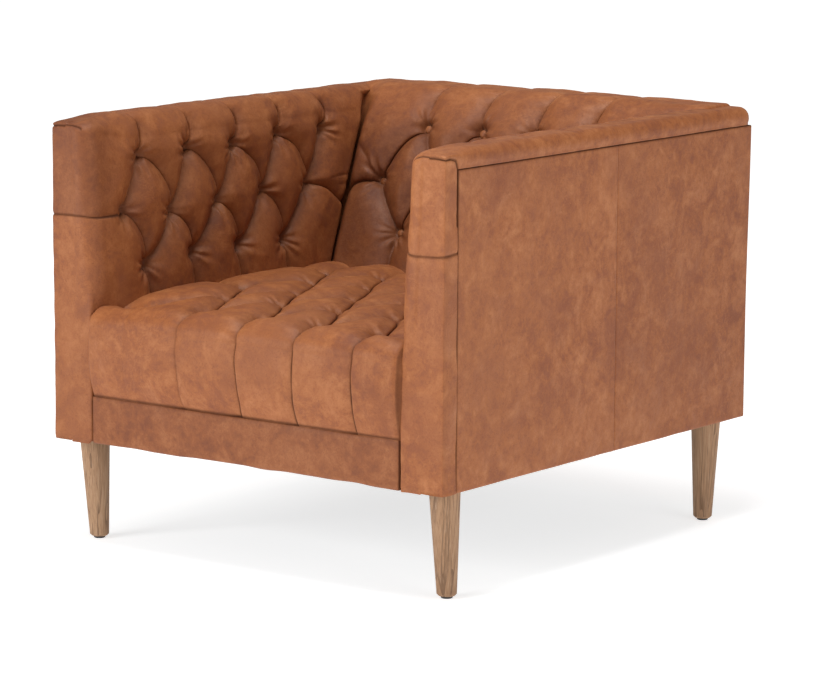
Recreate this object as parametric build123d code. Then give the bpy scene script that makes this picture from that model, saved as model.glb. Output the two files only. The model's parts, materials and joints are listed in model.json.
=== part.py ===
from build123d import *
import os

# Deep-buttoned leather club armchair, in millimetres.
# Origin: floor level, centre of the footprint. -Y is the front, +Z is up, and +X is the right-hand side
# for someone who faces the chair. Right-hand parts are at +X, left-hand parts are their mirror images.

# ---- driving dimensions --------------------------------------------------------------------------
WIDTH = 794.0
DEPTH = 878.0
ARM_TOP = 700.0
BACK_TOP = 710.0
BODY_BOTTOM = 175.0
BAND_SEAM = 676.0            # lower edge of the top band on the outside faces
SEAT_SEAM = 255.0            # seam between the seat cover and the front rail cover
SEAT_TOP = 402.0
LEATHER = 1.5
WADDING = 4.0
BOARD = 2.0
TIMBER = 22.0
POST_DEPTH = 60.0
RAIL_TOP = 250.0
TOP_RAIL_LOW = 642.0
TOP_RAIL_HIGH = 686.0
SEAT_GAP = 0.4               # clearance between neighbouring soft covers
ARM_FRONT_WRAP = 35.0        # how far the arm front leather returns along the outer side
SIDE_SEAM_Y = 36.0           # vertical seam between the two outside arm panels

# ---- inner surfaces ------------------------------------------------------------------------------
ARM_INNER_SEAT = 314.0       # half width between the arms, up to ARM_KNEE_Z
ARM_INNER_HIGH = 336.0       # the same at the arm top
ARM_KNEE_Z = 390.0
BACK_AT_SEAT_Y = 199.0       # inner back surface at BACK_REF_Z
BACK_REF_Z = 397.0
BACK_LEAN = 0.4476           # backward run of the inner back for each millimetre of height
BACK_SHOULDER_Z = 696.0
BACK_PAD = 72.0              # inner back leather to webbing, measured along Y

# ---- tufting -------------------------------------------------------------------------------------
ROW_Z = (640.0, 547.0, 464.0)
ARM_PITCH = 122.0
ARM_FIRST_Y = (-301.0, -349.0, -301.0)   # front button of each row
BACK_PITCH = 117.0
SEAT_PITCH = 117.0
SEAT_ROW_PITCH = 116.0
SEAT_FIRST_Y = -378.0
SEAT_ROWS = 5
TUFT_DEPTH = 12.0
TUFT_MOUTH_R = 22.0
TUFT_FLOOR_R = 11.0
BUTTON_R = 9.5
BUTTON_THICK = 6.0
TWINE_R = 0.8
TOGGLE_R = 2.5
TOGGLE_LENGTH = 14.0

# ---- seat springs --------------------------------------------------------------------------------
SPRING_COUNT = 5
SPRING_SPACING = 118.0
SPRING_WIRE_R = 1.9
SPRING_HALF_WIDTH = 20.0
SPRING_LOOPS = 30
CLIP_SHEET = 1.5
CLIP_WIDTH = 16.0
HESSIAN = 1.5
HESSIAN_Z = 258.0
PAD_FLOOR = 262.0

# ---- legs ----------------------------------------------------------------------------------------
LEG_TOP_R = 25.0
LEG_FOOT_R = 16.0
LEG_CHAMFER = 3.0
LEG_FROM_SIDE = 38.0
FRONT_LEG_FROM_FRONT = 58.0
REAR_LEG_FROM_BACK = 62.0
FRONT_RAKE = 9.0             # how far the foot is set in from the top, along Y
REAR_RAKE = 3.0
SIDE_RAKE = 1.0
GLIDE_R = 9.5
GLIDE_THICK = 4.0
GLIDE_NAIL_R = 1.5
GLIDE_NAIL = 18.0
BOLT_R = 4.0
BOLT_IN_LEG = 46.0
BLOCK_HIGH = 40.0
TEE_FLANGE_R = 8.0
TEE_FLANGE = 2.0
TEE_BARREL_R = 5.5
DUST_COVER = 1.0

# ---- derived planes ------------------------------------------------------------------------------
HALF_W = WIDTH / 2
HALF_D = DEPTH / 2
WAD_X = HALF_W - LEATHER                 # outer face of the side wadding
BOARD_X = WAD_X - WADDING                # outer face of the side board
FRAME_X = BOARD_X - BOARD                # outer face of the timber
INSIDE_X = FRAME_X - TIMBER              # inner face of the side timber
WEB_THICK = 1.5
WEB_X = INSIDE_X - WEB_THICK             # face of the arm webbing that the foam rests on
WAD_Y = HALF_D - LEATHER
BOARD_Y = WAD_Y - WADDING
FRAME_Y = BOARD_Y - BOARD                # rear face of the timber
INSIDE_Y = FRAME_Y - TIMBER              # front face of the rear timber
FRONT_Y = -HALF_D
FRONT_WAD_Y = FRONT_Y + LEATHER
FRONT_FRAME_Y = FRONT_WAD_Y + WADDING    # front face of the timber
FRONT_INSIDE_Y = FRONT_FRAME_Y + TIMBER
FRAME_BOTTOM = BODY_BOTTOM + DUST_COVER
POST_FRONT_Y = FRONT_FRAME_Y + POST_DEPTH
POST_REAR_Y = FRAME_Y - POST_DEPTH
WRAP_Y = FRONT_Y + ARM_FRONT_WRAP
SPRING_RAIL_Y = 240.0


# ---- small helpers -------------------------------------------------------------------------------
def block(x0, x1, y0, y1, z0, z1):
    """A box between two corners."""
    return Pos((x0 + x1) / 2, (y0 + y1) / 2, (z0 + z1) / 2) * Box(x1 - x0, y1 - y0, z1 - z0)


def outline(points, radii):
    """A closed face through the points, each corner rounded by its own radius."""
    return make_face(FilletPolyline(*points, radius=radii, close=True))


def prism_xz(points, y0, y1, radii=None):
    """Extrude an outline drawn in X and Z from y0 to y1."""
    radii = radii or [0] * len(points)
    plane = Plane(origin=(0, y1, 0), x_dir=(1, 0, 0), z_dir=(0, -1, 0))
    return extrude(plane * outline(points, radii), amount=y1 - y0)


def prism_yz(points, x0, x1, radii=None):
    """Extrude an outline drawn in Y and Z from x0 to x1."""
    radii = radii or [0] * len(points)
    plane = Plane(origin=(x0, 0, 0), x_dir=(0, 1, 0), z_dir=(1, 0, 0))
    return extrude(plane * outline(points, radii), amount=x1 - x0)


def prism_xy(points, z0, z1):
    """Extrude an outline drawn in X and Y from z0 to z1."""
    return extrude(Pos(0, 0, z0) * make_face(Polyline(*points, close=True)), amount=z1 - z0)


def rod(start, direction, radius, length):
    """A cylinder that starts at a point and runs along a direction."""
    plane = Plane(origin=start, z_dir=direction)
    return extrude(plane * Circle(radius), amount=length)


def funnel(point, normal, mouth_r, floor_r, depth, over=3.0):
    """A tapering pit sunk in a pad: its mouth is carried a little past the surface."""
    flare = (mouth_r - floor_r) / depth
    top = Vector(*point) + Vector(*normal) * over
    plane = Plane(origin=top, z_dir=Vector(*normal) * -1)
    cone = Cone(mouth_r + flare * over, floor_r, depth + over, align=(Align.CENTER, Align.CENTER, Align.MIN))
    return plane * cone


def mirrored(shape):
    """The left-hand copy of a right-hand part."""
    return mirror(shape, about=Plane.YZ)


def back_y(z):
    """Y of the inner back leather at a height."""
    return BACK_AT_SEAT_Y + (z - BACK_REF_Z) * BACK_LEAN


def solids_of(shape):
    """A flat list of the solids in a shape or a nested list of shapes."""
    if isinstance(shape, (list, tuple)):
        return [solid for item in shape for solid in solids_of(item)]
    return list(shape.solids())


PARTS = {}


def keep(name, *shapes):
    """File a sub-part under its name."""
    PARTS[name] = solids_of(list(shapes))


# ---- timber frame --------------------------------------------------------------------------------
def seat_rails():
    front = block(-INSIDE_X, INSIDE_X, FRONT_FRAME_Y, FRONT_INSIDE_Y, FRAME_BOTTOM, RAIL_TOP)
    rear = block(-INSIDE_X, INSIDE_X, INSIDE_Y, FRAME_Y, FRAME_BOTTOM, RAIL_TOP)
    side = block(INSIDE_X, FRAME_X, POST_FRONT_Y, POST_REAR_Y, FRAME_BOTTOM, RAIL_TOP)
    spring_rail = block(-INSIDE_X, INSIDE_X, SPRING_RAIL_Y, SPRING_RAIL_Y + TIMBER, FRAME_BOTTOM, RAIL_TOP)
    return {"front_rail": front, "rear_rail": rear, "right_seat_rail": side,
            "left_seat_rail": mirrored(side), "spring_rail": spring_rail}


def posts():
    front = block(INSIDE_X, FRAME_X, FRONT_FRAME_Y, POST_FRONT_Y, FRAME_BOTTOM, TOP_RAIL_LOW)
    rear = block(INSIDE_X, FRAME_X, POST_REAR_Y, FRAME_Y, FRAME_BOTTOM, TOP_RAIL_LOW)
    return {"right_front_post": front, "left_front_post": mirrored(front),
            "right_rear_post": rear, "left_rear_post": mirrored(rear)}


def top_rails():
    arm = block(INSIDE_X, FRAME_X, FRONT_FRAME_Y, FRAME_Y, TOP_RAIL_LOW, TOP_RAIL_HIGH)
    back = block(-INSIDE_X, INSIDE_X, INSIDE_Y, FRAME_Y, TOP_RAIL_LOW, TOP_RAIL_HIGH)
    return {"right_arm_top_rail": arm, "left_arm_top_rail": mirrored(arm), "back_top_rail": back}


ARM_TACK_LOW = 290.0
ARM_TACK_HIGH = 330.0
UPRIGHT_WIDE = 30.0
UPRIGHT_SHIFT = 5.0          # puts it between two columns of twine


def arm_tack_rail():
    return block(INSIDE_X, FRAME_X, POST_FRONT_Y, POST_REAR_Y, ARM_TACK_LOW, ARM_TACK_HIGH)


def arm_upright():
    y0 = SIDE_SEAM_Y - UPRIGHT_WIDE / 2 + UPRIGHT_SHIFT
    return block(INSIDE_X, FRAME_X, y0, y0 + UPRIGHT_WIDE, ARM_TACK_HIGH, TOP_RAIL_LOW)


STILE_X = 328.0              # inner side of each back stile
STILE_WIDE = 28.0
STILE_DEEP = 40.0
BACK_TACK_LOW = 300.0
BACK_TACK_HIGH = 345.0


def sloping_bar(x0, x1, z0, z1, deep):
    """A bar behind the back webbing that leans with the inner back."""
    shift = BACK_PAD + WEB_THICK
    corners = [(back_y(z0) + shift, z0), (back_y(z0) + shift + deep, z0),
               (back_y(z1) + shift + deep, z1), (back_y(z1) + shift, z1)]
    return prism_yz(corners, x0, x1)


def back_stile():
    return sloping_bar(STILE_X, STILE_X + STILE_WIDE, RAIL_TOP, TOP_RAIL_LOW, STILE_DEEP)


def back_tack_rail():
    return sloping_bar(-STILE_X, STILE_X, BACK_TACK_LOW, BACK_TACK_HIGH, TIMBER)


BLOCK_LONG = 110.0
BLOCK_NOSE = 38.0


def corner_block(y_wall, toward):
    """A five-sided block in a rail corner; toward is the way from the wall into the chair."""
    x_wall = INSIDE_X
    points = [(x_wall, y_wall), (x_wall, y_wall + toward * BLOCK_LONG),
              (x_wall - BLOCK_NOSE, y_wall + toward * BLOCK_LONG),
              (x_wall - BLOCK_LONG, y_wall + toward * BLOCK_NOSE), (x_wall - BLOCK_LONG, y_wall)]
    return prism_xy(points, FRAME_BOTTOM, FRAME_BOTTOM + BLOCK_HIGH)


# ---- dowels and screws ---------------------------------------------------------------------------
DOWEL_R = 4.0
DOWEL_LONG = 40.0
DOWEL_IN_POST = 16.0
SCREW_R = 2.0
SCREW_LONG = 44.0
SCREW_HEAD_R = 4.2
SCREW_HEAD = 3.0


def rail_dowels():
    """Dowels that cross from the cross rails into the side members, on the right."""
    start_x = INSIDE_X + DOWEL_IN_POST
    places = []
    for y in (FRONT_FRAME_Y + TIMBER / 2, FRAME_Y - TIMBER / 2):
        places += [(y, 195.0), (y, 232.0)]
    places.append((FRAME_Y - TIMBER / 2, (TOP_RAIL_LOW + TOP_RAIL_HIGH) / 2))
    places += [(SPRING_RAIL_Y + TIMBER / 2, 195.0), (SPRING_RAIL_Y + TIMBER / 2, 232.0)]
    return [rod((start_x, y, z), (-1, 0, 0), DOWEL_R, DOWEL_LONG) for y, z in places]


def post_dowels():
    """Dowels that stand in the post tops and reach into the arm top rail, on the right."""
    x = (INSIDE_X + FRAME_X) / 2
    half = DOWEL_LONG / 2
    ys = [FRONT_FRAME_Y + 18, FRONT_FRAME_Y + 42, FRAME_Y - 18, FRAME_Y - 42]
    return [rod((x, y, TOP_RAIL_LOW - half), (0, 0, 1), DOWEL_R, DOWEL_LONG) for y in ys]


def block_screws(y_wall, toward):
    """Two screws that draw a corner block against its rails, on the right."""
    z = FRAME_BOTTOM + BLOCK_HIGH / 2
    along_x = (INSIDE_X - BLOCK_NOSE + SCREW_HEAD, y_wall + toward * (BLOCK_LONG - 14), z)
    along_y = (INSIDE_X - BLOCK_LONG + 14, y_wall + toward * (BLOCK_NOSE - SCREW_HEAD), z)
    screws = []
    for start, way in ((along_x, (1, 0, 0)), (along_y, (0, -toward, 0))):
        head_start = Vector(*start) - Vector(*way) * SCREW_HEAD
        head = rod(head_start, way, SCREW_HEAD_R, SCREW_HEAD)
        screws.append(head + rod(start, way, SCREW_R, SCREW_LONG))
    return screws


# ---- seat springs --------------------------------------------------------------------------------
SPRING_Z = RAIL_TOP + CLIP_SHEET + SPRING_WIRE_R + 0.1
SPRING_FRONT_Y = FRONT_FRAME_Y + 14.0
SPRING_REAR_Y = SPRING_RAIL_Y + TIMBER / 2
SPRING_PITCH = (SPRING_REAR_Y - SPRING_FRONT_Y) / (SPRING_LOOPS - 1)


def sinuous_spring(x):
    """One zigzag spring: straight runs across, joined by half circles at alternate sides."""
    edges = []
    side = 1
    for loop in range(SPRING_LOOPS):
        y = SPRING_FRONT_Y + loop * SPRING_PITCH
        edges.append(Line((x - side * SPRING_HALF_WIDTH, y, SPRING_Z), (x + side * SPRING_HALF_WIDTH, y, SPRING_Z)))
        end_x = x + side * SPRING_HALF_WIDTH
        if loop < SPRING_LOOPS - 1:
            middle = (end_x + side * SPRING_PITCH / 2, y + SPRING_PITCH / 2, SPRING_Z)
            edges.append(ThreePointArc((end_x, y, SPRING_Z), middle, (end_x, y + SPRING_PITCH, SPRING_Z)))
        side = -side
    path = Wire([edge for item in edges for edge in item.edges()])
    start = Plane(origin=path @ 0, z_dir=path % 0)
    return sweep(start * Circle(SPRING_WIRE_R), path=path)


def spring_clip(x, y, mouth):
    """A bent sheet clip that folds over the last run of a spring; mouth is the way it opens."""
    room = SPRING_WIRE_R + 0.1
    z0 = RAIL_TOP
    z1 = SPRING_Z + room + CLIP_SHEET
    outer = block(x - CLIP_WIDTH / 2, x + CLIP_WIDTH / 2, min(y - mouth * 5.5, y + mouth * 7),
                  max(y - mouth * 5.5, y + mouth * 7), z0, z1)
    slot_a = y - mouth * (room + 0.2)
    slot_b = y + mouth * 12
    slot = block(x - CLIP_WIDTH, x + CLIP_WIDTH, min(slot_a, slot_b), max(slot_a, slot_b),
                 SPRING_Z - room, SPRING_Z + room)
    return outer - slot


# ---- covers and pads -----------------------------------------------------------------------------
TOP_ROUND = 12.0


def arm_envelope(inset, y0, y1, floor):
    """The upholstered arm, right-hand, shrunk by an inset from its leather surface."""
    points = [(ARM_INNER_SEAT + inset, floor), (ARM_INNER_SEAT + inset, ARM_KNEE_Z),
              (ARM_INNER_HIGH + inset, ARM_TOP - inset), (HALF_W - inset, ARM_TOP - inset),
              (HALF_W - inset, floor)]
    corner = TOP_ROUND - inset
    return prism_xz(points, y0, y1, [0, 0, corner, corner, 0])


def back_envelope(inset, half_width, floor):
    """The upholstered back, shrunk by an inset from its leather surface."""
    points = [(back_y(floor) + inset, floor), (back_y(BACK_SHOULDER_Z) + inset, BACK_SHOULDER_Z),
              (back_y(BACK_SHOULDER_Z) + 16 + inset, BACK_TOP - inset), (HALF_D - inset, BACK_TOP - inset),
              (HALF_D - inset, floor)]
    corner = TOP_ROUND - inset
    return prism_yz(points, -half_width, half_width, [0, corner, corner, corner, 0])


def seat_envelope(inset, floor):
    """The tight seat, shrunk by an inset from its leather surface."""
    half = ARM_INNER_SEAT - SEAT_GAP - inset
    rear_low = back_y(floor) - SEAT_GAP - inset
    rear_high = back_y(SEAT_TOP - inset) - SEAT_GAP - inset
    points = [(FRONT_Y + inset, floor), (FRONT_Y + inset, SEAT_TOP - inset),
              (rear_high, SEAT_TOP - inset), (rear_low, floor)]
    return prism_yz(points, -half, half, [0, 28.0 - inset, 0, 0])


def behind_corner(extra):
    """Everything behind the crease of arm and back, below the top rail, inboard of the posts."""
    points = [(back_y(100) + extra, 100), (HALF_D + 10, 100), (HALF_D + 10, TOP_RAIL_HIGH),
              (back_y(TOP_RAIL_HIGH) + extra, TOP_RAIL_HIGH)]
    return prism_yz(points, 0, INSIDE_X)


def arm_tufts():
    """Places of the buttons on the right arm's inner leather, with the outward normal."""
    slope = (ARM_INNER_HIGH - ARM_INNER_SEAT) / (ARM_TOP - ARM_KNEE_Z)
    normal = Vector(-1, 0, slope).normalized()
    tufts = []
    for row, z in enumerate(ROW_Z):
        y = ARM_FIRST_Y[row]
        while y < back_y(z) - 60:
            x = ARM_INNER_SEAT + (z - ARM_KNEE_Z) * slope
            tufts.append(((x, y, z), normal))
            y += ARM_PITCH
    return tufts


def back_tufts():
    """Places of the buttons on the inner back leather, with the outward normal."""
    normal = Vector(0, -1, BACK_LEAN).normalized()
    tufts = []
    for row, z in enumerate(ROW_Z):
        columns = (-2, -1, 0, 1, 2) if row == 1 else (-1.5, -0.5, 0.5, 1.5)
        tufts += [((column * BACK_PITCH, back_y(z), z), normal) for column in columns]
    return tufts


def seat_tufts():
    """Places of the buttons on the seat leather, with the outward normal."""
    tufts = []
    for row in range(SEAT_ROWS):
        columns = (-2, -1, 0, 1, 2) if row % 2 == 0 else (-1.5, -0.5, 0.5, 1.5)
        y = SEAT_FIRST_Y + row * SEAT_ROW_PITCH
        tufts += [((column * SEAT_PITCH, y, SEAT_TOP), Vector(0, 0, 1)) for column in columns]
    return tufts


def deeper(point, normal, depth):
    """The point that lies a depth below a surface point."""
    return Vector(*point) - normal * depth


def button(point, normal):
    """A covered button that sits on the floor of its funnel."""
    start = deeper(point, normal, TUFT_DEPTH)
    disc = rod(start, normal, BUTTON_R, BUTTON_THICK)
    rim = disc.faces().sort_by(lambda face: (face.center() - start).dot(normal))[-1].edges()
    return fillet(rim, BUTTON_THICK * 0.6)


def twine(point, normal, length, toggle_way):
    """Twine from the back of a button through the pad, with the toggle that holds it."""
    start = deeper(point, normal, TUFT_DEPTH)
    end = deeper(point, normal, TUFT_DEPTH + length)
    cord = rod(start, normal * -1, TWINE_R, length + TOGGLE_R)
    toggle = rod(end - normal * TOGGLE_R - toggle_way * TOGGLE_LENGTH / 2, toggle_way, TOGGLE_R, TOGGLE_LENGTH)
    return cord + toggle


def tufted(shell, pad, envelope, tufts):
    """Sink a leather funnel at each tuft: returns the cover and the pad with their pits cut."""
    grow = LEATHER
    outer = [funnel(p, n, TUFT_MOUTH_R + grow, TUFT_FLOOR_R + grow, TUFT_DEPTH + grow) for p, n in tufts]
    inner = [funnel(p, n, TUFT_MOUTH_R, TUFT_FLOOR_R, TUFT_DEPTH) for p, n in tufts]
    plugs = [plug & envelope for plug in outer]
    cover = (shell + plugs) - inner
    return cover, pad - outer


def pierced(shape, tufts, length):
    """Cut the twine's way through a cover or pad."""
    return shape - [rod(deeper(p, n, TUFT_DEPTH - 1), n * -1, TWINE_R, length) for p, n in tufts]


def arm_parts():
    """Cover, foam, buttons and twines of the right arm."""
    outer = arm_envelope(0, FRONT_Y, HALF_D, BODY_BOTTOM)
    inner = arm_envelope(LEATHER, FRONT_WAD_Y, WAD_Y, BODY_BOTTOM - 10)
    shell = outer - inner
    shell -= block(0, INSIDE_X, FRONT_WAD_Y, HALF_D + 1, 100, PAD_FLOOR)
    shell -= block(INSIDE_X, HALF_W + 1, WRAP_Y, HALF_D + 1, 100, BAND_SEAM)
    shell -= block(INSIDE_X, HALF_W + 1, WAD_Y, HALF_D + 1, 100, BAND_SEAM)
    shell -= behind_corner(40)
    foam = arm_envelope(LEATHER, FRONT_FRAME_Y, WAD_Y, PAD_FLOOR)
    foam -= block(WEB_X, FRAME_X, FRONT_FRAME_Y - 1, FRAME_Y, 100, TOP_RAIL_HIGH)
    foam -= block(WEB_X, HALF_W, FRONT_FRAME_Y - 1, HALF_D, 100, BAND_SEAM)
    foam -= behind_corner(40)
    tufts = arm_tufts()
    cover, foam = tufted(shell, foam, outer, tufts)
    twines = []
    for point, normal in tufts:
        length = (INSIDE_X + 1.0 - point[0]) / abs(normal.X) - TUFT_DEPTH
        twines.append(twine(point, normal, length, Vector(0, 1, 0)))
    cover = pierced(cover, tufts, 80)
    foam = pierced(foam, tufts, 80)
    return cover, foam, [button(p, n) for p, n in tufts], twines


def between_arms(shape, inset):
    """Trim a shape to the width between the arm covers."""
    knee = ARM_INNER_SEAT - SEAT_GAP - inset
    high = ARM_INNER_HIGH - SEAT_GAP - inset
    points = [(-knee, 150), (knee, 150), (knee, ARM_KNEE_Z), (high, ARM_TOP), (high, BACK_TOP + 5),
              (-high, BACK_TOP + 5), (-high, ARM_TOP), (-knee, ARM_KNEE_Z)]
    return shape & prism_xz(points, -HALF_D - 5, HALF_D + 5)


def back_parts():
    """Cover, foam, buttons and twines of the inner back."""
    wide = HALF_W
    outer = between_arms(back_envelope(0, wide, PAD_FLOOR), 0)
    inner = between_arms(back_envelope(LEATHER, wide, PAD_FLOOR - 10), -5)
    shell = outer - inner
    shell -= block(-wide, wide, BOARD_Y - 20, HALF_D + 1, 100, BAND_SEAM)
    foam = between_arms(back_envelope(LEATHER, wide, PAD_FLOOR), 0)
    hollow = [(back_y(100) + BACK_PAD, 100), (back_y(TOP_RAIL_HIGH) + BACK_PAD, TOP_RAIL_HIGH),
              (FRAME_Y, TOP_RAIL_HIGH), (FRAME_Y, BAND_SEAM), (HALF_D + 5, BAND_SEAM), (HALF_D + 5, 100)]
    foam -= prism_yz(hollow, -wide, wide)
    tufts = back_tufts()
    cover, foam = tufted(shell, foam, outer, tufts)
    normal = tufts[0][1]
    length = (BACK_PAD + WEB_THICK + 1.5) * abs(normal.Y) - TUFT_DEPTH
    twines = [twine(p, n, length, Vector(1, 0, 0)) for p, n in tufts]
    cover = pierced(cover, tufts, 40)
    foam = pierced(foam, tufts, 100)
    return cover, foam, [button(p, n) for p, n in tufts], twines


def seat_parts():
    """Cover, foam, buttons and twines of the seat."""
    outer = seat_envelope(0, SEAT_SEAM)
    floor = HESSIAN_Z + HESSIAN
    inner = seat_envelope(LEATHER, SEAT_SEAM - 10)
    shell = outer - inner
    shell -= block(-HALF_W, HALF_W, FRONT_WAD_Y, HALF_D, 100, floor)
    foam = seat_envelope(LEATHER, floor)
    tufts = seat_tufts()
    cover, foam = tufted(shell, foam, outer, tufts)
    length = SEAT_TOP - TUFT_DEPTH - floor - 2 * TOGGLE_R
    twines = [twine(p, n, length, Vector(1, 0, 0)) for p, n in tufts]
    cover = pierced(cover, tufts, 40)
    foam = pierced(foam, tufts, 200)
    toggles = [block(p[0] - TOGGLE_LENGTH / 2 - 0.5, p[0] + TOGGLE_LENGTH / 2 + 0.5, p[1] - TOGGLE_R - 0.3,
                     p[1] + TOGGLE_R + 0.3, floor - 1, floor + 2 * TOGGLE_R + 0.5) for p, n in tufts]
    return cover, foam - toggles, [button(p, n) for p, n in tufts], twines


# ---- webbing, hessian and flat layers ------------------------------------------------------------
STRIP_WIDE = 40.0


def arm_webbing():
    """Vertical jute strips on the right arm, between the columns of twine."""
    strips = []
    y = (ARM_FIRST_Y[0] + ARM_FIRST_Y[1] + ARM_PITCH) / 2
    while y < POST_REAR_Y - 60:
        strips.append(block(WEB_X, INSIDE_X, y - STRIP_WIDE / 2, y + STRIP_WIDE / 2, ARM_TACK_LOW, TOP_RAIL_HIGH - 4))
        y += ARM_PITCH
    return strips


def back_webbing():
    """Jute strips that lean with the inner back, between the columns of twine."""
    strips = []
    for column in range(-2, 3):
        x = (column + 0.25) * BACK_PITCH
        half = STRIP_WIDE / 2
        low = BACK_TACK_LOW
        high = TOP_RAIL_HIGH - 6
        corners = [(back_y(low) + BACK_PAD, low), (back_y(low) + BACK_PAD + WEB_THICK, low),
                   (back_y(high) + BACK_PAD + WEB_THICK, high), (back_y(high) + BACK_PAD, high)]
        strips.append(prism_yz(corners, x - half, x + half))
    return strips


def side_layers():
    """Board, wadding and outside leather panels of the right side."""
    board = block(FRAME_X, BOARD_X, FRONT_FRAME_Y, BOARD_Y, FRAME_BOTTOM, BAND_SEAM)
    wadding = block(BOARD_X, WAD_X, FRONT_FRAME_Y, WAD_Y, FRAME_BOTTOM, BAND_SEAM)
    front = block(WAD_X, HALF_W, WRAP_Y, SIDE_SEAM_Y, BODY_BOTTOM, BAND_SEAM)
    rear = block(WAD_X, HALF_W, SIDE_SEAM_Y, HALF_D, BODY_BOTTOM, BAND_SEAM)
    return board, wadding, front, rear


def front_wadding():
    """Thin wadding over the arm fronts and the front rail."""
    arm = arm_envelope(LEATHER, FRONT_WAD_Y, FRONT_FRAME_Y, FRAME_BOTTOM)
    half = ARM_INNER_SEAT
    rail = block(-half, half, FRONT_WAD_Y, FRONT_FRAME_Y, FRAME_BOTTOM, SEAT_SEAM - 1)
    return [arm, mirrored(arm), rail]


def dust_cover(leg_places):
    """The cloth under the frame, cut away around the legs."""
    sheet = block(-FRAME_X, FRAME_X, FRONT_FRAME_Y, FRAME_Y, BODY_BOTTOM, FRAME_BOTTOM)
    holes = [rod((x, y, BODY_BOTTOM - 5), (0, 0, 1), LEG_TOP_R + 0.5, 10) for x, y in leg_places]
    return sheet - holes


# ---- legs ----------------------------------------------------------------------------------------
LEG_X = HALF_W - LEG_FROM_SIDE
FRONT_LEG_Y = FRONT_Y + FRONT_LEG_FROM_FRONT
REAR_LEG_Y = HALF_D - REAR_LEG_FROM_BACK


def leg(y_top, rake):
    """Right-hand leg: a raked taper with a chamfered foot, bored for its bolt and glide nail."""
    foot_y = y_top + rake
    foot_x = LEG_X - SIDE_RAKE
    chamfer_z = GLIDE_THICK + LEG_CHAMFER
    share = LEG_CHAMFER / (FRAME_BOTTOM - GLIDE_THICK)
    mid_x = foot_x + SIDE_RAKE * share
    mid_y = foot_y - rake * share
    top = Pos(LEG_X, y_top, FRAME_BOTTOM) * Circle(LEG_TOP_R)
    middle = Pos(mid_x, mid_y, chamfer_z) * Circle(LEG_FOOT_R)
    foot = Pos(foot_x, foot_y, GLIDE_THICK) * Circle(LEG_FOOT_R - LEG_CHAMFER)
    shape = loft([middle, top]) + loft([foot, middle])
    shape -= rod((LEG_X, y_top, FRAME_BOTTOM - BOLT_IN_LEG), (0, 0, 1), BOLT_R, BOLT_IN_LEG + 5)
    shape -= rod((foot_x, foot_y, 0), (0, 0, 1), GLIDE_NAIL_R, GLIDE_THICK + GLIDE_NAIL)
    return shape


def glide(y_top, rake):
    """Nail-on glide under the right-hand leg."""
    place = (LEG_X - SIDE_RAKE, y_top + rake, 0)
    disc = rod(place, (0, 0, 1), GLIDE_R, GLIDE_THICK)
    disc = chamfer(disc.edges().sort_by(Axis.Z)[0], 1.0)
    return disc + rod(place, (0, 0, 1), GLIDE_NAIL_R, GLIDE_THICK + GLIDE_NAIL)


def tee_nut(y):
    """Barrel and flange of the nut that sits in the top of a corner block."""
    top = FRAME_BOTTOM + BLOCK_HIGH
    body = rod((LEG_X, y, top - 14), (0, 0, 1), TEE_BARREL_R, 14) + rod((LEG_X, y, top), (0, 0, 1),
                                                                       TEE_FLANGE_R, TEE_FLANGE)
    return body - rod((LEG_X, y, top - 20), (0, 0, 1), BOLT_R, 30)


def hanger_bolt(y):
    """Bolt from the leg into the tee nut."""
    length = BOLT_IN_LEG + BLOCK_HIGH + TEE_FLANGE + 3
    return rod((LEG_X, y, FRAME_BOTTOM - BOLT_IN_LEG), (0, 0, 1), BOLT_R, length)


# ---- assembly ------------------------------------------------------------------------------------
def build_frame():
    timber = {}
    timber.update(seat_rails())
    timber.update(posts())
    timber.update(top_rails())
    blocks = [corner_block(FRONT_INSIDE_Y, 1), corner_block(INSIDE_Y, -1)]
    for y in (FRONT_LEG_Y, REAR_LEG_Y):
        shank = rod((LEG_X, y, 100), (0, 0, 1), BOLT_R, 200)
        barrel = rod((LEG_X, y, FRAME_BOTTOM + BLOCK_HIGH - 14), (0, 0, 1), TEE_BARREL_R, 20)
        blocks = [item - shank - barrel for item in blocks]
    right_pins = rail_dowels() + post_dowels()
    dowels = right_pins + [mirrored(pin) for pin in right_pins]
    right_screws = block_screws(FRONT_INSIDE_Y, 1) + block_screws(INSIDE_Y, -1)
    screws = right_screws + [mirrored(screw) for screw in right_screws]
    blocks += [mirrored(item) for item in blocks]
    cutters = dowels + screws
    for name, shape in timber.items():
        keep(name, shape - cutters)
    keep("corner_blocks", [item - screws for item in blocks])
    keep("frame_dowels", dowels)
    keep("block_screws", screws)
    keep("arm_tack_rails", arm_tack_rail(), mirrored(arm_tack_rail()))
    keep("arm_uprights", arm_upright(), mirrored(arm_upright()))
    keep("back_stiles", back_stile(), mirrored(back_stile()))
    keep("back_tack_rail", back_tack_rail())


def build_springs():
    xs = [(index - (SPRING_COUNT - 1) / 2) * SPRING_SPACING for index in range(SPRING_COUNT)]
    keep("sinuous_springs", [sinuous_spring(x) for x in xs])
    clips = []
    for x in xs:
        clips.append(spring_clip(x, SPRING_FRONT_Y, 1))
        clips.append(spring_clip(x, SPRING_REAR_Y, -1))
    keep("spring_clips", clips)
    half = STILE_X - 1
    rear = SPRING_RAIL_Y + TIMBER
    keep("spring_hessian", block(-half, half, FRONT_FRAME_Y, rear, HESSIAN_Z, HESSIAN_Z + HESSIAN))


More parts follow.
